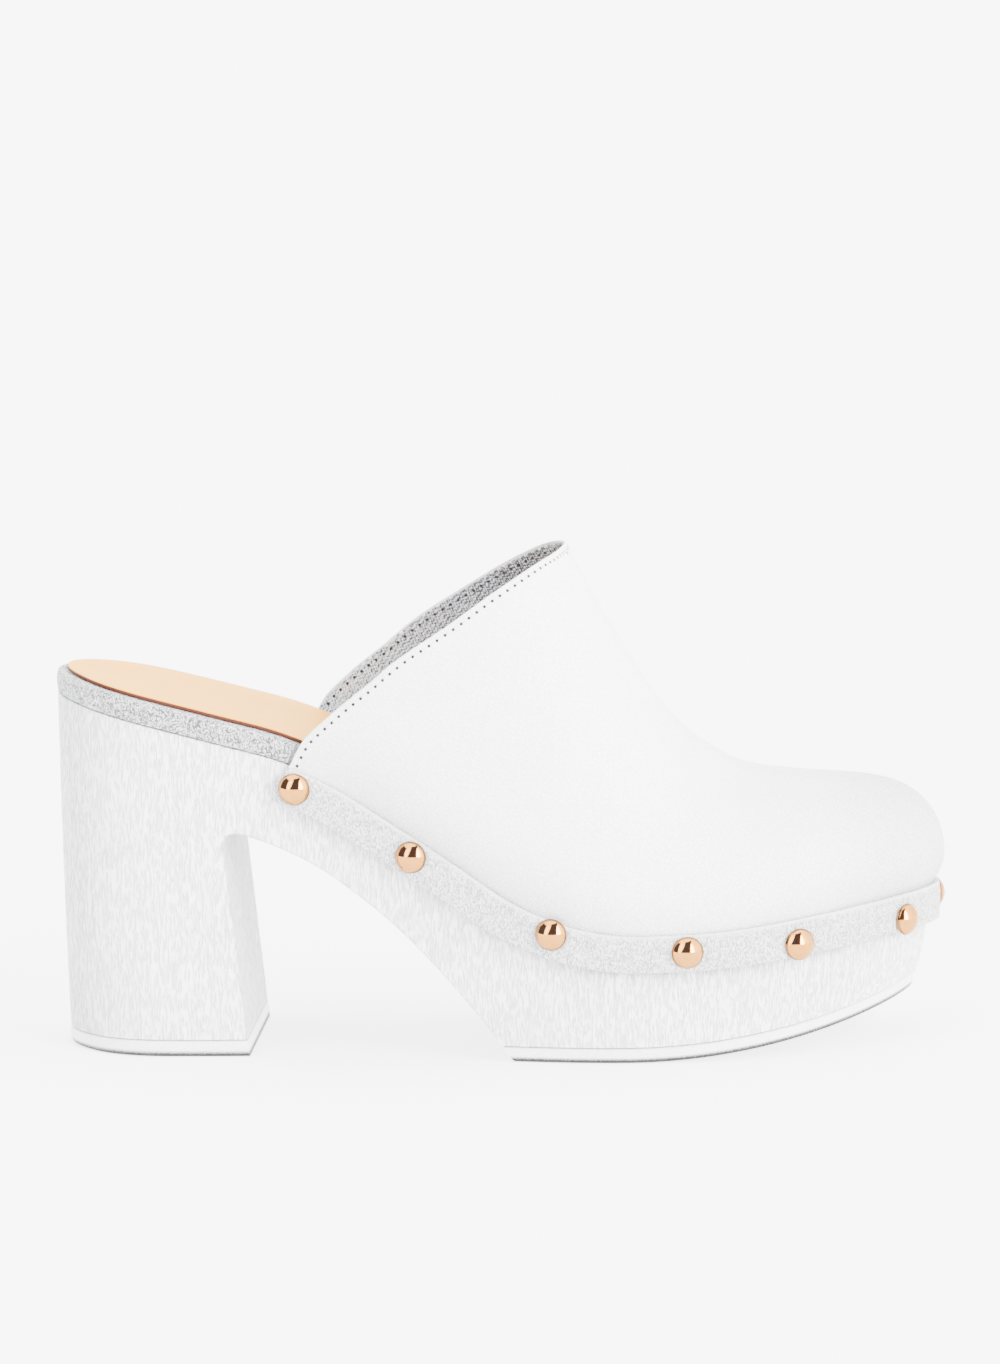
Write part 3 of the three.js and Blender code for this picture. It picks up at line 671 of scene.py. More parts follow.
# painted shadow in the needle holes
HOLE_SHADOW = material("needle_hole", needle_shadow, Roughness=0.9)


# Sole

FILLET = 0.8
LEAST_FILLET = 0.1
TOP_ROUND = 0.4
FILLET_ROWS = 5
SOLE_ROWS = 26
SOLE_COLUMNS = 400
HEEL_ROWS = 24
HEEL_COLUMNS = 130


def grain_depth(points):
    """Depth of the wall's upright grooves: noise drawn out over the height, folded to ridges."""
    scaled = points / (0.75, 0.75, 4.5)
    wander = noise(points / (9.0, 9.0, 12.0), 3)[..., None] * (0.6, 0.6, 0.0)
    coarse = noise(scaled + wander, 11)
    fine = noise(scaled * (1.9, 1.9, 1.6) + wander, 12)
    return 0.12 * np.clip(0.55 - np.abs(coarse) * 1.6, 0, 1) + 0.05 * fine


def breast_length(z):
    """The heel breast leans: its length falls evenly from the floor to the arch's corner."""
    return lerp(BREAST_FOOT, BREAST_TOP, z / (ARCH_HEIGHT - ARCH_CORNER))


def arch_line(t):
    """Side view of the arch: a uniform Catmull-Rom curve through its table."""
    knots = [(lerp(BREAST_TOP, PLATFORM_REAR, along), ARCH_HEIGHT * up) for along, up in ARCH]
    return spline(knots, t, spacing=0.0)[0]


def underside():
    """The underside in side view from the breast's foot to the platform, moved in by the radius
    of its edge, that radius, and the number of points on the breast."""
    foot, top = TOP_PIECE + SEAM, ARCH_HEIGHT - ARCH_CORNER
    z = np.linspace(foot, top, 26)
    breast = np.stack([breast_length(z), z], 1)
    turn = np.linspace(np.pi, np.pi / 2, 9)[1:]
    corner = np.stack([BREAST_TOP + ARCH_CORNER * (1 + np.cos(turn)),
                       top + ARCH_CORNER * np.sin(turn)], 1)
    arch = arch_line(np.linspace(0.01, 1, 160))
    arch = arch[(arch[:, 1] > OUTSOLE + SEAM) & (arch[:, 0] > corner[-1, 0] + 0.6)]
    line = np.concatenate([breast, corner, arch])
    end = arch[-1, 0]
    radius = FILLET * (1 - smoothstep(line[:, 0], end - 6, end + 0.5)) + LEAST_FILLET
    return line + left_of(line) * radius[:, None], radius, len(breast)


def side_columns(first, last, count, side):
    """Outline parameters of one side for lengths evenly spaced along the outer side's path."""
    reach = np.interp([first, last], TRACE[: HALF + 1, 0], LENGTHS[: HALF + 1])
    lengths = np.interp(np.linspace(*reach, count), LENGTHS[: HALF + 1], TRACE[: HALF + 1, 0])
    return parameter_at(lengths, side)


def wall(t, z):
    """Points of the sole's wall at outline parameters t and heights z, with their outward
    directions. It draws in towards the tread, and carries the upright grooves."""
    x = length_at(t)
    low, high = tread_height(x), feather_height(x)
    inset = tuck(x, (high - z) / (high - low))
    xy, out = outline_point(t, -inset)
    points = at_height(xy, z)
    depth = grain_depth(points) * smoothstep(high - z, 0.3, 2.0)
    points[..., :2] -= out * depth[..., None]
    return points, out


def lone(mark):
    """A mark whose second value is 0."""
    return np.stack([mark, 0 * mark], -1)


def shade_under_rand(points):
    """Painted shade on the wall, fading with the depth below the rand, and at the heel's back."""
    x = points[..., 0]
    below = np.maximum(feather_height(x) - RAND_DROP - RAND_WIDTH - points[..., 2], 0)
    painted_shade = 0.55 * np.exp(-below / 0.8) + 0.22 * np.exp(-below / 3.5)
    painted_shade *= smoothstep(x, TOPLINE_REAR - 3, 70)
    # painted shade at the heel's back
    painted_shade += 0.36 * (1 - smoothstep(x, 0, 20))
    return lone(painted_shade)


def sole_side(skin, side, inner, breast_count):
    """One side of the wall: all its length over the arch, and the heel's block below. Gives the
    lower edge, its outward directions, the top row and the heel's foot."""
    split = inner[breast_count - 1]
    heel_t = side_columns(0, split[0], HEEL_COLUMNS, side)
    t = np.concatenate([heel_t, side_columns(split[0], SOLE_LENGTH, SOLE_COLUMNS, side)[1:]])
    x = length_at(t)
    tread = tread_height(outline_point(t, -tuck(x, 1.0))[0][:, 0]) + OUTSOLE + SEAM + LEAST_FILLET
    low = np.where(x > inner[-1, 0], tread, np.interp(x, *inner[breast_count - 1:].T))
    z = lerp(low, feather_height(x) - TOP_ROUND, np.linspace(0, 1, SOLE_ROWS)[:, None])
    points, out = wall(np.broadcast_to(t, z.shape), z)
    turn = np.linspace(0, np.pi / 2, 4)[1:, None]
    rim = TOP_ROUND * at_height(-out[-1] * (1 - np.cos(turn))[..., None], np.sin(turn))
    points = np.concatenate([points, points[-1] + rim])
    skin.grid(points, marks=shade_under_rand(points))
    z = np.linspace(TOP_PIECE + SEAM, split[1], HEEL_ROWS)
    ends = parameter_at(np.interp(z, inner[:breast_count, 1], inner[:breast_count, 0]), side)
    start = 0.0 if side == LATERAL else 1.0
    scale = ((ends - start) / (ends[-1] - start))[:, None]
    heel, heel_out = wall(start + (heel_t - start) * scale, z[:, None] + 0 * heel_t)
    heel[-1] = points[0, :HEEL_COLUMNS]
    skin.grid(heel, marks=shade_under_rand(heel))
    edge, outward = (np.concatenate([below[:-1, -1], above[0, HEEL_COLUMNS - 1:]])
                     for below, above in ((heel, points), (heel_out, out)))
    return edge, outward, points[-1], heel[0]


def sole_unit():
    """Two sides, the underside between them with quarter-round edges, the heel's foot and the top.
    The breast face has painted shade."""
    inner, radius, breast_count = underside()
    skin = Skin()
    sides = [sole_side(skin, side, inner, breast_count) for side in SIDES]
    edges, outs, tops, heels = zip(*sides)
    path = np.mean(edges, axis=0)[:, [0, 2]]
    normal = left_of(path)
    size = np.interp(path[:, 0], inner[breast_count:, 0], radius[breast_count:])
    size[:HEEL_ROWS] = FILLET + LEAST_FILLET
    size = np.where(path[:, 0] > inner[-1, 0], LEAST_FILLET, size)[:, None]
    turn = np.linspace(0, np.pi / 2, FILLET_ROWS)
    down = np.stack([-normal[:, 0], 0 * normal[:, 0], -normal[:, 1]], 1)
    drop = down[:, None] * (size * np.sin(turn))[..., None]
    draw = (size * (1 - np.cos(turn)))[..., None]
    first, last = (edge[:, None] + drop + at_height(-out, 0.0)[:, None] * draw
                   for edge, out in zip(edges, outs))
    share = np.linspace(0, 1, RUNGS)[None, 1:-1, None]
    strip = np.concatenate([first, lerp(first[:, -1:], last[:, -1:], share), last[:, ::-1]], 1)
    count = strip.shape[1]
    inside = np.minimum(np.arange(count), np.arange(count)[::-1]) / (FILLET_ROWS - 1)
    # painted shade on the breast face
    breast = 0.46 * (1 - smoothstep(path[:, :1], BREAST_FOOT + 0.5, BREAST_FOOT + 9))
    skin.grid(strip, marks=lone(breast * np.clip(inside, 0, 1)))
    share = np.linspace(0, 1, count)[None, :, None]
    cap = lerp(heels[0][:, None], heels[1][:, None], share)
    skin.grid(np.concatenate([cap, strip[:1]]))
    skin.across(*tops)
    skin.piece("sole_shell", WHITE_SOLE, "sole", ["sole_unit"], sharp=50, marks="shade")


def tread_layer(name, node, thickness, ends, count):
    """A layer under the sole with a rounded edge. ends gives its length limits at a height."""
    skin = Skin()
    levels = np.array([(0, -1.7), (0, -1.0), (0.06, -0.5), (0.13, -0.2), (0.25, 0.08),
                       (0.42, 0.3), (0.6, 0.39), (0.78, 0.38), (0.9, 0.22), (0.97, -0.1),
                       (1, -0.5)])
    levels[2:5, 0] *= 3.7 / thickness
    edge_shadow_and_underside = np.zeros((len(levels), 1, 2))
    # painted contact shadow on the lowest rows; the first row marks the underside
    edge_shadow_and_underside[:5, 0] = [(0, 1), (1, 0), (1, 0), (1, 0), (0.85, 0)]
    z = levels[:, 0] * thickness
    low, high = ends(z)
    rims = []
    for side in SIDES:
        start, end = parameter_at(low, side), parameter_at(high, side)
        base = side_columns(low[0], high[0], count, side)
        share = (base - base[0]) / (base[-1] - base[0])
        t = start[:, None] + (end - start)[:, None] * share
        x = length_at(t)
        xy, _ = outline_point(t, levels[:, 1:] * EDGE_INSET - tuck(x, 1.0))
        rims.append(at_height(xy, tread_height(xy[..., 0]) + z[:, None]))
        skin.grid(rims[-1], marks=edge_shadow_and_underside)
    lateral, medial = rims
    skin.across(lateral[0], medial[0], marks=(0.0, 1.0))
    skin.across(lateral[-1], medial[-1])
    skin.across(lateral[:, 0], medial[:, 0])
    skin.across(lateral[:, -1], medial[:, -1], marks=edge_shadow_and_underside)
    skin.piece(name, WHITE_TREAD, "tread", [node], sharp=35, marks="edge_shadow_and_underside")


def outsole_ends(z):
    """The outsole's rear face follows the arch; its front reaches the toe tip."""
    arch = arch_line(np.linspace(0, 1, 400))
    rear = np.interp(z, arch[::-1, 1], arch[::-1, 0])
    return rear, np.full_like(rear, SOLE_LENGTH)


def top_piece_ends(z):
    """The heel's wearing piece runs from the back to the breast."""
    return np.zeros_like(z), breast_length(z)


# Footbed and sock

def layered(levels, columns, skin, marks=0.0):
    """A flat block that follows the outline. levels are (height over the seam line, offset)."""
    rims = []
    over, out = np.array(levels, float).T
    for side in SIDES:
        xy, _ = outline_point(side_columns(0, SOLE_LENGTH, columns, side), out[:, None])
        rims.append(at_height(xy, feather_height(xy[..., 0]) + over[:, None]))
        skin.grid(rims[-1], marks=marks)
    for row in (0, -1):
        skin.across(rims[0][row], rims[1][row])


def shadow_beside_upper(points):
    """Painted shadow: a dark line on the rim, just behind the upper's rear edge."""
    x, z, _ = topline_limit(0.0)
    behind = np.interp(points[..., 2], z, x) - points[..., 0]
    return lone(0.9 * bell(behind - 0.8, 0.7))


def footbed_rim():
    """Suede wrapped round the footbed: sides swell a little, edges turn over in quarter circles."""
    skin = Skin()
    away, back = quarter(6)
    low = zip(SEAM + 0.5 * away, -0.5 * back)
    side = [(lerp(SEAM + 0.5, SEAM + FOOTBED - FOOTBED_EDGE, v), 0.16 * np.sin(np.pi * v))
            for v in np.linspace(0, 1, 8)[1:-1]]
    high = zip(SEAM + FOOTBED - FOOTBED_EDGE * back, -FOOTBED_EDGE * away)
    layered([*low, *side, *high], 640, skin)
    # painted shadow line on the rim behind the upper's rear edge
    for number, points in enumerate(skin.points[:2]):
        skin.marks[number] = shadow_beside_upper(points)
        points[:, :2] += 0.05 * noise(points / 1.6, 21)[:, None]
    skin.piece("footbed_rim", GREY_SUEDE, "rim", ["footbed"], marks="rim_line")


def insole_sock():
    """A flat sheet inside the footbed's outline with a quarter-round, inked edge."""
    skin = Skin()
    base = 2 * SEAM + FOOTBED
    away, back = quarter(5)
    levels = [(base, -SOCK_INSET), *zip(base + SOCK - 0.3 * back, -SOCK_INSET - 0.3 * away)]
    edge = np.array([(1, 0), (1, 0), (0.5, 0), (0.15, 0), (0, 0), (0, 0)], float)[:, None]
    layered(levels, 360, skin, marks=edge)
    skin.piece("insole_cover", TAN_LEATHER, "sock", ["insole_sock"], marks="edge")


# Upper

UPPER_ROWS = 56
REAR_COLUMNS = 150
TOE_COLUMNS = 150
THROAT_COLUMNS = 6  # the columns at the throat's middle, which share one direction


def ridge_point(station, inset):
    """Top of the section at a station: over the middle of the shoe, and folded back to the
    ridge's end round the toe."""
    t = station / len(KNOTS)
    length = (length_at(t) + length_at(1 - t)) / 2
    power = (SOLE_LENGTH - TOE_FAN_START) / (SPINE_END - TOE_FAN_START)
    share = np.clip((length - TOE_FAN_START) / (SOLE_LENGTH - TOE_FAN_START), 0, 1)
    folded = lerp(TOE_FAN_START, SPINE_END, 1 - (1 - share) ** power)
    x = np.where(share > 0, folded, length)
    y = RIDGE_SHIFT * TOE_TIP_SHIFT * smoothstep(x, WAIST_END, SPINE_END)
    return np.stack([x, y, spine_height(x) - inset], -1)


def sections(station, side, inset):
    """Each station's curve, from the hidden margin up over the widest line to the ridge, which
    it reaches on a superellipse. Rows are stations, columns points of the curve."""
    t = station / len(KNOTS) if side == LATERAL else 1 - station / len(KNOTS)
    foot, _ = outline_point(t, SEAM + UPPER_WALL - inset)
    top = ridge_point(station, inset)
    x = length_at(t)[:, None]
    seam_line = feather_height(x)
    away = foot - top[:, :2]
    reach = np.linalg.norm(away, axis=1)[:, None]
    away = unit(away)[:, None]
    bulge = UPPER_BULGE * lerp(REAR_BULGE, 1, smoothstep(x, TOPLINE_REAR, WAIST_END))
    rise = lerp(BULGE_RISE, TOE_BULGE_RISE, smoothstep(x, TOE_ROUND_START, SOLE_LENGTH))
    power = 2 / lerp(INSTEP_FULLNESS, TOE_FULLNESS, smoothstep(x, THROAT_REACH, TOE_FAN_START))
    up = np.linspace(0, 1, 12)[:-1]
    margin = reach + 0 * up, seam_line - LASTING_MARGIN * (1 - up)
    down = 1 - np.linspace(0, 1, 24)[:-1]
    undercut = reach + bulge * (1 - down * down), seam_line + rise * (1 - down)
    angle = np.linspace(0, np.pi / 2, 140)
    widest = seam_line + rise
    across = np.maximum(np.cos(angle), 0) ** power
    dome = (reach + bulge) * across, widest + (top[:, 2:] - widest) * np.sin(angle) ** power
    distance, height = (np.concatenate(parts, 1) for parts in zip(margin, undercut, dome))
    distance[:, -1] = 0.0
    return at_height(top[:, None, :2] + away * distance[..., None], height)


def topline_limit(inward):
    """The topline's side view as lengths, heights and tilts, moved into the leather by inward."""
    rear = feather_height(np.array(TOPLINE_REAR))
    knots = [(lerp(TOPLINE_REAR, THROAT_REACH, along), lerp(rear, THROAT_HEIGHT, up),
              skew * MEDIAL_RISE / 2) for along, up, skew in TOPLINE]
    line, slope = spline(knots, np.linspace(0, 1, 800))
    side = unit(slope[:, :2])
    return line[:, 0] + side[:, 1] * inward, line[:, 1] - side[:, 0] * inward, line[:, 2]


def topline_cut(curves, inward):
    """Where each section meets the topline: the number of its point past it, and the share of
    the last step."""
    x, z, tilt = topline_limit(inward)
    at = curves[..., 0]
    limit = np.interp(at, x, z) + np.interp(at, x, tilt) * curves[..., 1] / TOPLINE_HALF_WIDTH
    over = np.where(at >= x[-1] - 0.05, -1.0, curves[..., 2] - limit)
    hit = np.where((over > 0).any(1), (over > 0).argmax(1), curves.shape[1] - 1)[:, None]
    a, b = (np.take_along_axis(over, hit - k, 1) for k in (1, 0))
    return hit, np.where(b > 0, a / np.minimum(a - b, -1e-9), 1.0)


def trimmed(curves, cut, rows):
    """Each section up to its cut, as evenly spaced rows, and each row's length along it."""
    hit, share = cut
    length = lengths_along(curves)
    la, lb = (np.take_along_axis(length, hit - k, 1) for k in (1, 0))
    wanted = lerp(la, lb, share) * np.linspace(0, 1, rows)
    index = (length[:, None, :] <= wanted[:, :, None]).sum(-1) - 1
    index = np.clip(index, 0, curves.shape[1] - 2)
    la, lb = (np.take_along_axis(length, index + k, 1) for k in (0, 1))
    pa, pb = (np.take_along_axis(curves, (index + k)[..., None], 1) for k in (0, 1))
    return lerp(pa, pb, ((wanted - la) / (lb - la))[..., None]), wanted


def station_of(x, side):
    """Number of knots from the back of the heel to a length x, fractions included."""
    t = parameter_at(x, side)
    return (t if side == LATERAL else 1 - t) * len(KNOTS)


def upper_half(side, inset, inward, rows=UPPER_ROWS):
    """One side of the upper. Its columns crowd together towards the throat, where the topline
    runs level, by the square of their number."""
    x, _, _ = topline_limit(inward)
    rear = x[-1] - (x[-1] - x[0]) * np.linspace(1, 0, REAR_COLUMNS) ** 2
    first = station_of(rear, side)
    onward = np.linspace(0, 1, TOE_COLUMNS)[1:]
    last = lerp(first[-1], TOE_STATION, onward)
    stations = np.concatenate([first, last])
    cut = topline_cut(sections(stations, side, 0.0), inward)
    points, lengths = trimmed(sections(stations, side, inset), cut, rows)
    return creased(points), lengths


# Soft folds of the worn-in leather: middle in side view, direction, half length, half width,
# and depth, all in millimetres and degrees; a negative depth is a ridge
CREASES = [
    (96.0, 92.0, -38.0, 26.0, 5.0, 0.35),
    (118.0, 72.0, -30.0, 24.0, 4.5, 0.45),
    (146.0, 58.0, -18.0, 22.0, 4.0, 0.3),
    (150.0, 84.0, 62.0, 20.0, 7.0, 0.3),
    (163.0, 72.0, 70.0, 15.0, 6.0, 0.22),
    (128.0, 100.0, -62.0, 26.0, 9.0, -0.25),
]


def creased(points):
    """Moves the skin towards the shoe's middle by a smooth bump along each fold's line."""
    x, z = points[..., 0], points[..., 2]
    depth = np.zeros(x.shape)
    for middle_x, middle_z, angle, length, width, deep in CREASES:
        a = np.radians(angle)
        along = (x - middle_x) * np.cos(a) + (z - middle_z) * np.sin(a)
        over = (z - middle_z) * np.cos(a) - (x - middle_x) * np.sin(a)
        depth += deep * bell(along, length) * bell(over, width)
    depth += 0.06 * noise(points / 11.0, 31) + 0.02 * noise(points / 4.0, 32)
    inwards = unit((0.0, 2.0, 48.0) - points * (0, 1, 1))
    keep = smoothstep(np.abs(points[..., 1] - 2.0), 0.0, 6.0) * 0.5 + 0.5
    return points + inwards * (depth * keep)[..., None]


def weave_lengths(points, lengths):
    """Length along the shoe and length up the wall, for the lining's knit."""
    return np.stack([np.broadcast_to(points[:, :1, 0], lengths.shape), lengths], -1)


def painted_leather_shade(points, lengths):
    """Painted shade on the leather: above the rand, strongest past the second stud and narrowing to
    the toe; also darker towards the toe and its tip, along the ridge and at the rear."""
    x = points[..., 0]
    over = np.maximum(points[..., 2] - feather_height(x), 0)
    reach = lerp(13.0, 7.0, smoothstep(x, 110, 180))
    most = 0.5 * smoothstep(x, 62, 92) * lerp(1.0, 0.35, smoothstep(x, 128, 178))
    painted_shade = most * np.exp(-(over / reach) ** 1.6)
    # painted shade at the toe and its tip, along the ridge and at the rear
    toe = smoothstep(x, 148, 200)
    painted_shade += 0.2 * toe + 0.12 * toe * smoothstep(points[..., 2], 50, TOE_BOX_HEIGHT)
    painted_shade += 0.3 * smoothstep(x, 196, 226)
    ridge = bell(points[..., 1] - RIDGE_SHIFT * TOE_TIP_SHIFT, 9.0)
    painted_shade += ridge * lerp(0.22, 0.12, smoothstep(x, 128, 142))
    painted_shade += 0.2 * (1 - smoothstep(x, 66, 94))
    return lone(painted_shade)


def upper_shell(name, slot, material_used, outer_inset, inner_inset, inward, marks, laid):
    """A wall between two insets, with a half-round lip along the topline."""
    skin = Skin()
    lips = np.linspace(0, np.pi, 8)[:, None, None]
    for side in SIDES:
        outer, length = upper_half(side, outer_inset, inward)
        inner, _ = upper_half(side, inner_inset, inward)
        lay = laid(outer, length)
        skin.grid(outer, marks=lay)
        skin.grid(inner, marks=lay)
        skin.across(outer[:, 0], inner[:, 0], 1)
        a, b = outer[:REAR_COLUMNS, -1], inner[:REAR_COLUMNS, -1]
        middle, half = (a + b) / 2, np.linalg.norm(a - b, axis=1, keepdims=True) / 2
        away = unit(a - b)
        raised = unit(np.cross(np.gradient(middle, axis=0), away))
        raised *= np.sign((raised * (-0.6, 0, 0.8)).sum(1, keepdims=True))
        raised[-THROAT_COLUMNS:] = raised[-THROAT_COLUMNS - 1]
        lip = middle + half * (np.cos(lips) * away + np.sin(lips) * raised)
        # painted shade on the lip's inner half, on the leather only
        lip_shade = smoothstep(np.cos(lips), 0.35, -0.35) * (0.75, 0.0) * (marks == "shade")
        skin.grid(lip, marks=lay[:REAR_COLUMNS, -1] + lip_shade)
        skin.across(outer[0], inner[0], 2)
        skin.grid(np.stack([lip[:, 0], np.repeat(middle[:1], 8, 0)], 1))
    skin.piece(name, material_used, slot, ["upper"], sharp=70, marks=marks)


# Rand and studs

def rand_point(u, down, offset):
    """A point of the rand: u is the arc share of its top edge, down the distance under that
    edge measured square to its path, offset the distance out from the sole's outline."""
    def height(share):
        return feather_height(length_at(np.interp(share * GIRTH, LENGTHS, PARAMETERS)))
    step = 0.002
    slope = (height(u + step) - height(u - step)) / (2 * step * GIRTH)
    scale = np.hypot(1, slope)
    share = u + down * slope / scale / GIRTH
    t = np.interp(share * GIRTH, LENGTHS, PARAMETERS)
    xy, out = outline_point(t, offset)
    return at_height(xy, height(u) - down / scale - RAND_DROP), out


def arc_share(x, side):
    """Share of the outline's girth where one side reaches a length x."""
    return np.interp(parameter_at(x, side), PARAMETERS, LENGTHS) / GIRTH


def stud_seat(side, at, down):
    """Middle of a stud's seat on the rand, and the direction that the stud faces."""
    u = arc_share(np.array(at * SOLE_LENGTH), side)
    seat, _ = rand_point(u, down * RAND_WIDTH, RAND_OUTER + SEAM)
    behind, _ = rand_point(u, down * RAND_WIDTH, 0.0)
    return seat, unit((seat - behind) * (1, 1, 0))


RAND_CORNERS = (0.9, 3.2)  # radii at its ends, above and below
RAND_EDGE = 0.42
RAND_SWELL = 0.14
RAND_COLUMNS = 760
SHANK_LENGTH = 7.0
SHANK_RADIUS = 0.7


def rand_strip():
    """A strip with rounded edges along the outline. It swells between its edges, dips round
    each stud, and its lower corners are rounded off at both ends."""
    u = np.linspace(*(arc_share(TOPLINE_REAR, side) for side in SIDES), RAND_COLUMNS)
    along = np.linspace(-1, 1, RAND_COLUMNS)
    reach = (1 - np.abs(along)) / 2 * (u[-1] - u[0]) * GIRTH
    top_cut, cut = (r * (1 - np.sqrt(1 - np.clip(1 - reach / r, 0, 1) ** 2))
                    for r in RAND_CORNERS)
    away, back = (RAND_EDGE * side for side in quarter(5))
    face = np.linspace(0, 1, 15)[1:-1]
    low, high = top_cut, RAND_WIDTH - cut
    flat = lerp(low + RAND_EDGE, high - RAND_EDGE, face[:, None])
    down = np.concatenate([low + away[:, None], flat, high - away[::-1, None], [high, low]])
    rounded = RAND_OUTER - back
    swelled = RAND_OUTER + RAND_SWELL * np.sin(np.pi * face)
    offset = np.concatenate([rounded, swelled, rounded[::-1], [RAND_INNER] * 2])[:, None]
    lean = along * RAND_END_LEAN / RAND_WIDTH / GIRTH
    points, out = rand_point(u + lean * down, down, offset)
    outer = offset > RAND_OUTER - RAND_EDGE
    crinkle = 0.05 * noise(points / (0.8, 0.8, 1.3), 41) + 0.06 * noise(points / 2.2, 42)
    sink = np.zeros(points.shape[:2])
    for _, side, at, share in STUDS:
        seat, _ = stud_seat(side, at, share)
        near = np.linalg.norm(points - seat, axis=-1)
        sink += 0.22 * bell(near, 5.4)
    points[..., :2] += out * ((crinkle - sink) * outer)[..., None]
    # painted shade along the rand's lower edge, and a painted highlight along its top edge
    marks = np.stack([0.5 * bell(high - down, 0.35), bell(down - low, 0.7) * outer], -1)
    around = [*range(len(points)), 0]
    skin = Skin()
    skin.grid(points[around], marks=marks[around])
    skin.fan(points[:, 0])
    skin.fan(points[:, -1])
    skin.piece("rand_strip", RAND_LEATHER, "rand", ["rand"], marks="edge")


def stud(name, side, at, down):
    """A pressed cap: a thin turned rim with a spherical dome, and its shank behind."""
    cap = STUD_HEIGHT - STUD_RIM
    sphere = (STUD_RADIUS ** 2 + cap ** 2) / (2 * cap)
    half = np.arcsin(0.955 * STUD_RADIUS / sphere)
    angle = half * np.linspace(1, 0, 15)
    rise = STUD_HEIGHT - sphere * (1 - np.cos(angle))
    profile = [(0, -SHANK_LENGTH), (SHANK_RADIUS, SHANK_RADIUS - SHANK_LENGTH),
               (SHANK_RADIUS, -0.02), (STUD_RADIUS - 0.12, 0), (STUD_RADIUS, 0.1),
               (STUD_RADIUS + 0.02, 0.24), (STUD_RADIUS - 0.03, 0.4), (STUD_RADIUS - 0.13, 0.47),
               *zip(sphere * np.sin(angle), rise)]
    radius, height = np.array(profile).T
    seat, facing = stud_seat(side, at, down)
    up = np.array([0.0, 0.0, 1.0])
    sideways = np.cross(up, facing)
    turn = np.linspace(0, 2 * np.pi, 49)
    round_ = np.cos(turn)[:, None] * sideways + np.sin(turn)[:, None] * up
    points = seat + facing * height[:, None, None] + round_ * radius[:, None, None]
    # painted shade along the turned rim
    rim_shade = bell(radius - STUD_RADIUS + 0.1, 0.12) * (height > 0.2)
    skin = Skin()
    skin.grid(points, marks=lone(rim_shade)[:, None])
    skin.piece(name + "_cap", ROSE_GOLD, "stud", [name], sharp=50, marks="rim_shade")


# Stitching along the topline

STITCH_PITCH = 2.55
STITCH_INSET = 1.5
SEAM_ENDS = 1.5


def edge_line(inward, inset=0.0):
    """The line on the skin at a distance from the topline, from the outer rear corner over the
    throat to the inner rear corner. At the throat it follows the next section over the ridge."""
    halves = []
    ahead = topline_limit(inward)[0][-1:] + 0.3
    for side in SIDES:
        edge = upper_half(side, inset, inward, rows=12)[0]
        edge = edge[:REAR_COLUMNS - THROAT_COLUMNS, -1]
        top = creased(sections(station_of(ahead, side), side, inset))[0, :-61:-1]
        away = np.abs(top[:, 1] - top[0, 1])
        wanted = np.linspace(np.abs(edge[-1, 1] - top[0, 1]), 0, 16)[1:]
        over = np.stack([np.interp(wanted, away, top[:, k]) for k in range(3)], -1)
        halves.append(np.concatenate([edge, over]))
    return np.concatenate([halves[0], halves[1][::-1][1:]])


def seam_frame(inset, facing):
    """Holes along the seam on one face of the wall, the middles between them, and each
    stitch's directions: along the seam, towards the topline, and off the face."""
    seam_line, nearer = edge_line(STITCH_INSET, inset), edge_line(STITCH_INSET - 0.4, inset)
    length = lengths_along(edge_line(STITCH_INSET))
    count = int((length[-1] - 2 * SEAM_ENDS) / STITCH_PITCH) + 1
    starts = SEAM_ENDS + STITCH_PITCH * np.arange(count)

    def on(line, where):
        return np.stack([np.interp(where, length, line[:, k]) for k in range(3)], -1)
    between = starts[:-1] + STITCH_PITCH / 2
    holes, middle = on(seam_line, starts), on(seam_line, between)
    ahead = unit(holes[1:] - holes[:-1])
    off = unit(np.cross(ahead, unit(on(nearer, between) - middle)))
    off *= facing * np.sign(((middle - (110.0, 2.0, 60.0)) * off).sum(1, keepdims=True))
    return holes, middle, ahead, np.cross(off, ahead), off


def turned(frame_, along, across, off):
    """Copies of one small shape, given in its own three directions, in every frame."""
    ahead, to_edge, out = (direction[:, None, None] for direction in frame_)
    return ahead * along[..., None] + to_edge * across[..., None] + out * off[..., None]


def stitching():
    """Thread laid from hole to hole: each stitch is a rod whose ends dip, copied along the seam.
    The holes show as small dark discs on both faces, as painted shadow."""
    dots = Skin()
    turn = np.linspace(0, 2 * np.pi, 11)
    radius = np.array([0.0, 0.38, 0.45, 0.45])[:, None]
    height = np.array([0.1, 0.1, 0.06, -0.3])[:, None] + 0 * turn
    for inset, facing in ((0.0, 1), (UPPER_WALL, -1)):
        holes, middle, *axes = seam_frame(inset, facing)
        frames = [np.concatenate([a, a[-1:]]) for a in axes]
        discs = turned(frames, radius * np.cos(turn), radius * np.sin(turn), height)
        for one in holes[:, None, None] + discs:
            dots.grid(one)
            dots.fan(one[-1])
        if facing == 1:
            v = np.linspace(-1, 1, 7)[:, None]
            thick = 0.2 * np.sqrt(np.clip(1.02 - v ** 4, 0, 1))
            angle = np.linspace(0, 2 * np.pi, 9)
            rods = turned(axes, v * STITCH_PITCH * 0.33 + 0 * angle, thick * np.cos(angle) * 1.15,
                          0.1 - 0.26 * v ** 4 + thick * np.sin(angle))
            stitches = Skin()
            for one in middle[:, None, None] + rods:
                stitches.grid(one)
            stitches.piece("topline_thread", WHITE_THREAD, "upper", [], sharp=80)
    dots.piece("needle_holes", HOLE_SHADOW, "upper", [], sharp=80)


# Floor, light and camera

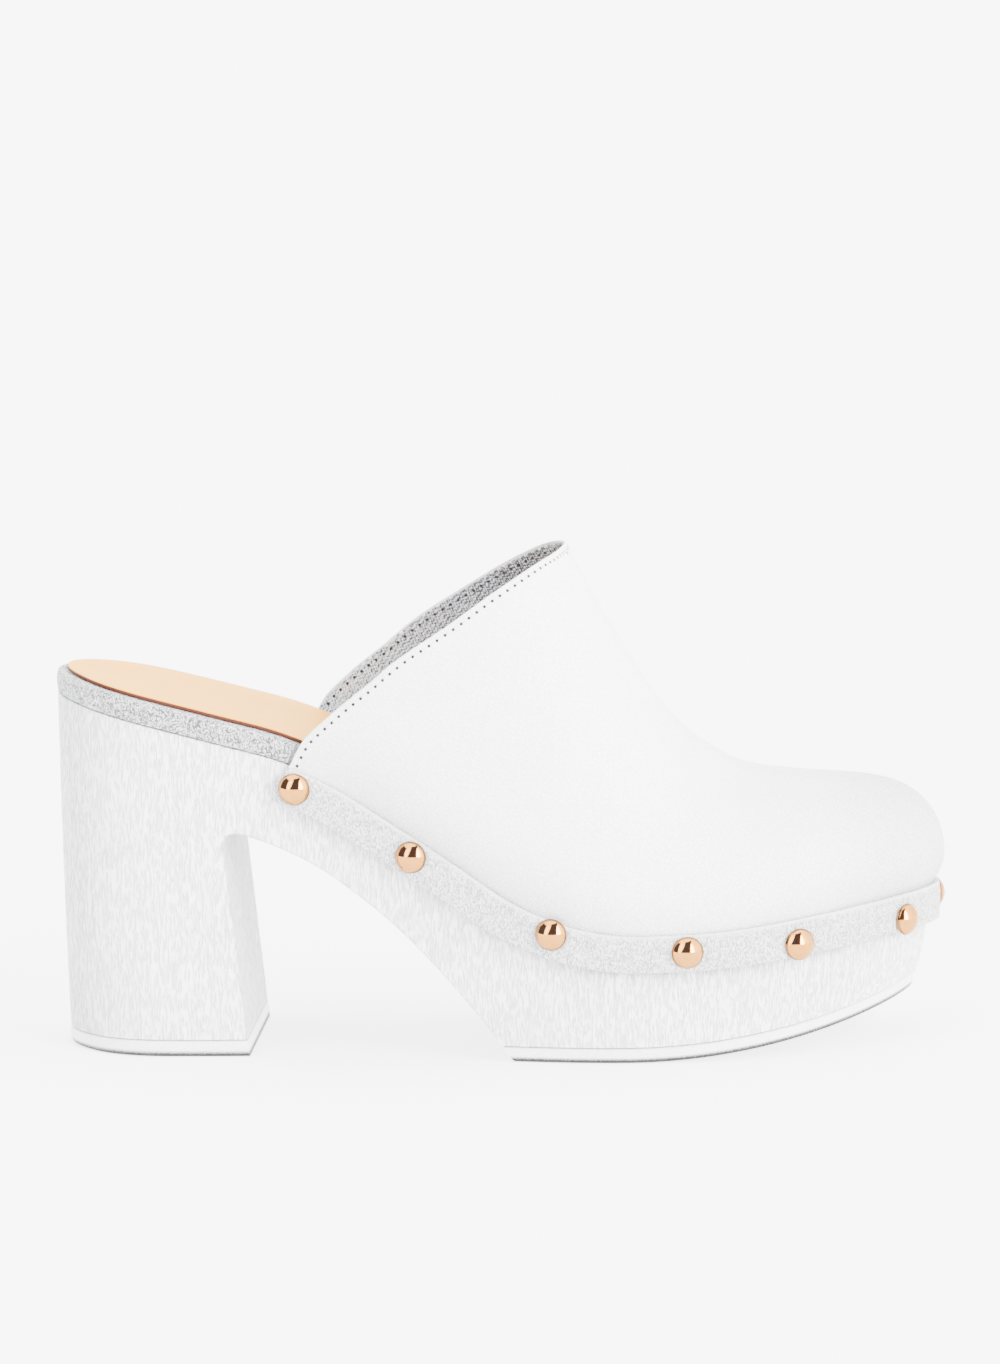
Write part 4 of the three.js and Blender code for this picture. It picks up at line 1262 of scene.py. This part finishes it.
SENSOR = 36.0
FOCAL_SHARE = 7500.0 / 1364.0  # focal length over the picture's width
STUDIO_LIGHT = 47.0
OVERHEAD = 0.22
FLOOR_GLOW = 3.0
FLOOR_REACH = 60.0
OVERHEAD_FROM = (48, 58)  # degrees up, where the overhead light fades in
GAP_TOP = (74, 68)  # and where the dark gap does, downwards
DARK_GAP = (0.005, 0.006, 0.018)
# Brightness round the horizon: bearing in degrees from the camera, towards the toe, and light
SOFT_BOXES = [(-180, 0.15), (180, 0.15), (-106, 0.15), (-98, 0.0), (-53, 0.0), (-48, 0.32),
              (-20, 0.32), (20, 1.0), (46, 1.0), (58, 0.24), (132, 0.14)]


def studio():
    """A pale, faintly glowing floor out to the horizon, a broad soft light overhead, a soft box
    on each side and a dark gap between them where the camera stands, slanted on its left."""
    floor = bpy.data.meshes.new("floor")
    corners = [(-1, -1), (1, -1), (1, 1), (-1, 1)]
    floor.from_pydata([(x * FLOOR_REACH, y * FLOOR_REACH, 0) for x, y in corners], [],
                      [(0, 1, 2, 3)])
    floor.materials.append(material("pale_floor", Base_Color=tint(0.65), Emission_Color=tint(1.0),
                                    Emission_Strength=FLOOR_GLOW, Roughness=1.0,
                                    Specular_IOR_Level=0.0))
    new_object("floor", floor)

    world = bpy.data.worlds.new("studio")
    bpy.context.scene.world = world
    world.use_nodes = True
    tree = world.node_tree
    way = add(tree, "SeparateXYZ", {"Vector": add(tree, "TexCoord", {})["Generated"]})
    bearing = math(tree, "ARCTAN2", way["X"], math(tree, "MULTIPLY", way["Y"], -1.0))
    turn = math(tree, "MULTIPLY_ADD", bearing, 1 / (2 * np.pi), 0.5)
    ring = add(tree, "ValToRGB", {"Fac": turn})["Color"]
    stops = ring.node.color_ramp.elements
    for number, (degrees, light) in enumerate(SOFT_BOXES):
        at = degrees / 360.0 + 0.5
        stop = stops[number] if number < 2 else stops.new(at)
        stop.position, stop.color = at, (*np.maximum(light, DARK_GAP), 1)
    low, high = np.sin(np.radians(OVERHEAD_FROM))
    sky = blend(tree, ranged(tree, way["Z"], low, high, soft=True), ring, tint(OVERHEAD))
    slant = math(tree, "MULTIPLY_ADD", way["Z"], -0.5, way["X"])
    low, high = np.sin(np.radians(GAP_TOP))
    gap = 1.0
    for value, out, inside in [(slant, -0.6, -0.5), (way["X"], 0.5, 0.42), (way["Y"], 0.0, -0.1),
                               (way["Z"], low, high)]:
        gap = math(tree, "MULTIPLY", gap, ranged(tree, value, out, inside, soft=True))
    wire(tree, tree.nodes["Background"], {
        "Color": blend(tree, gap, sky, tint(DARK_GAP)), "Strength": STUDIO_LIGHT})


def camera():
    """The photograph's view: a long lens from 2 m away, a little above and to the toe's side."""
    lens = bpy.data.cameras.new("camera")
    lens.sensor_width = SENSOR
    lens.lens = SENSOR * FOCAL_SHARE
    lens.clip_end = 200.0
    eye = new_object("camera", lens)
    eye.location = (0.12090661, -1.97049284, 0.36442077)
    eye.rotation_euler = np.radians([82.22880646, 1.18898232, 3.33775072])
    bpy.context.scene.camera = eye


sole_unit()
tread_layer("outsole_layer", "forepart_outsole", OUTSOLE, outsole_ends, 420)
tread_layer("heel_tip", "heel_top_piece", TOP_PIECE, top_piece_ends, 160)
footbed_rim()
insole_sock()
upper_shell("upper_leather", "upper", WHITE_LEATHER, 0.0, LEATHER_WALL, 0.0, "shade", painted_leather_shade)
upper_shell("upper_lining", "upper", GREY_MESH, LEATHER_WALL + 0.05, UPPER_WALL, 0.25, "lay",
            weave_lengths)
rand_strip()
for row in STUDS:
    stud(*row)
stitching()
studio()
camera()
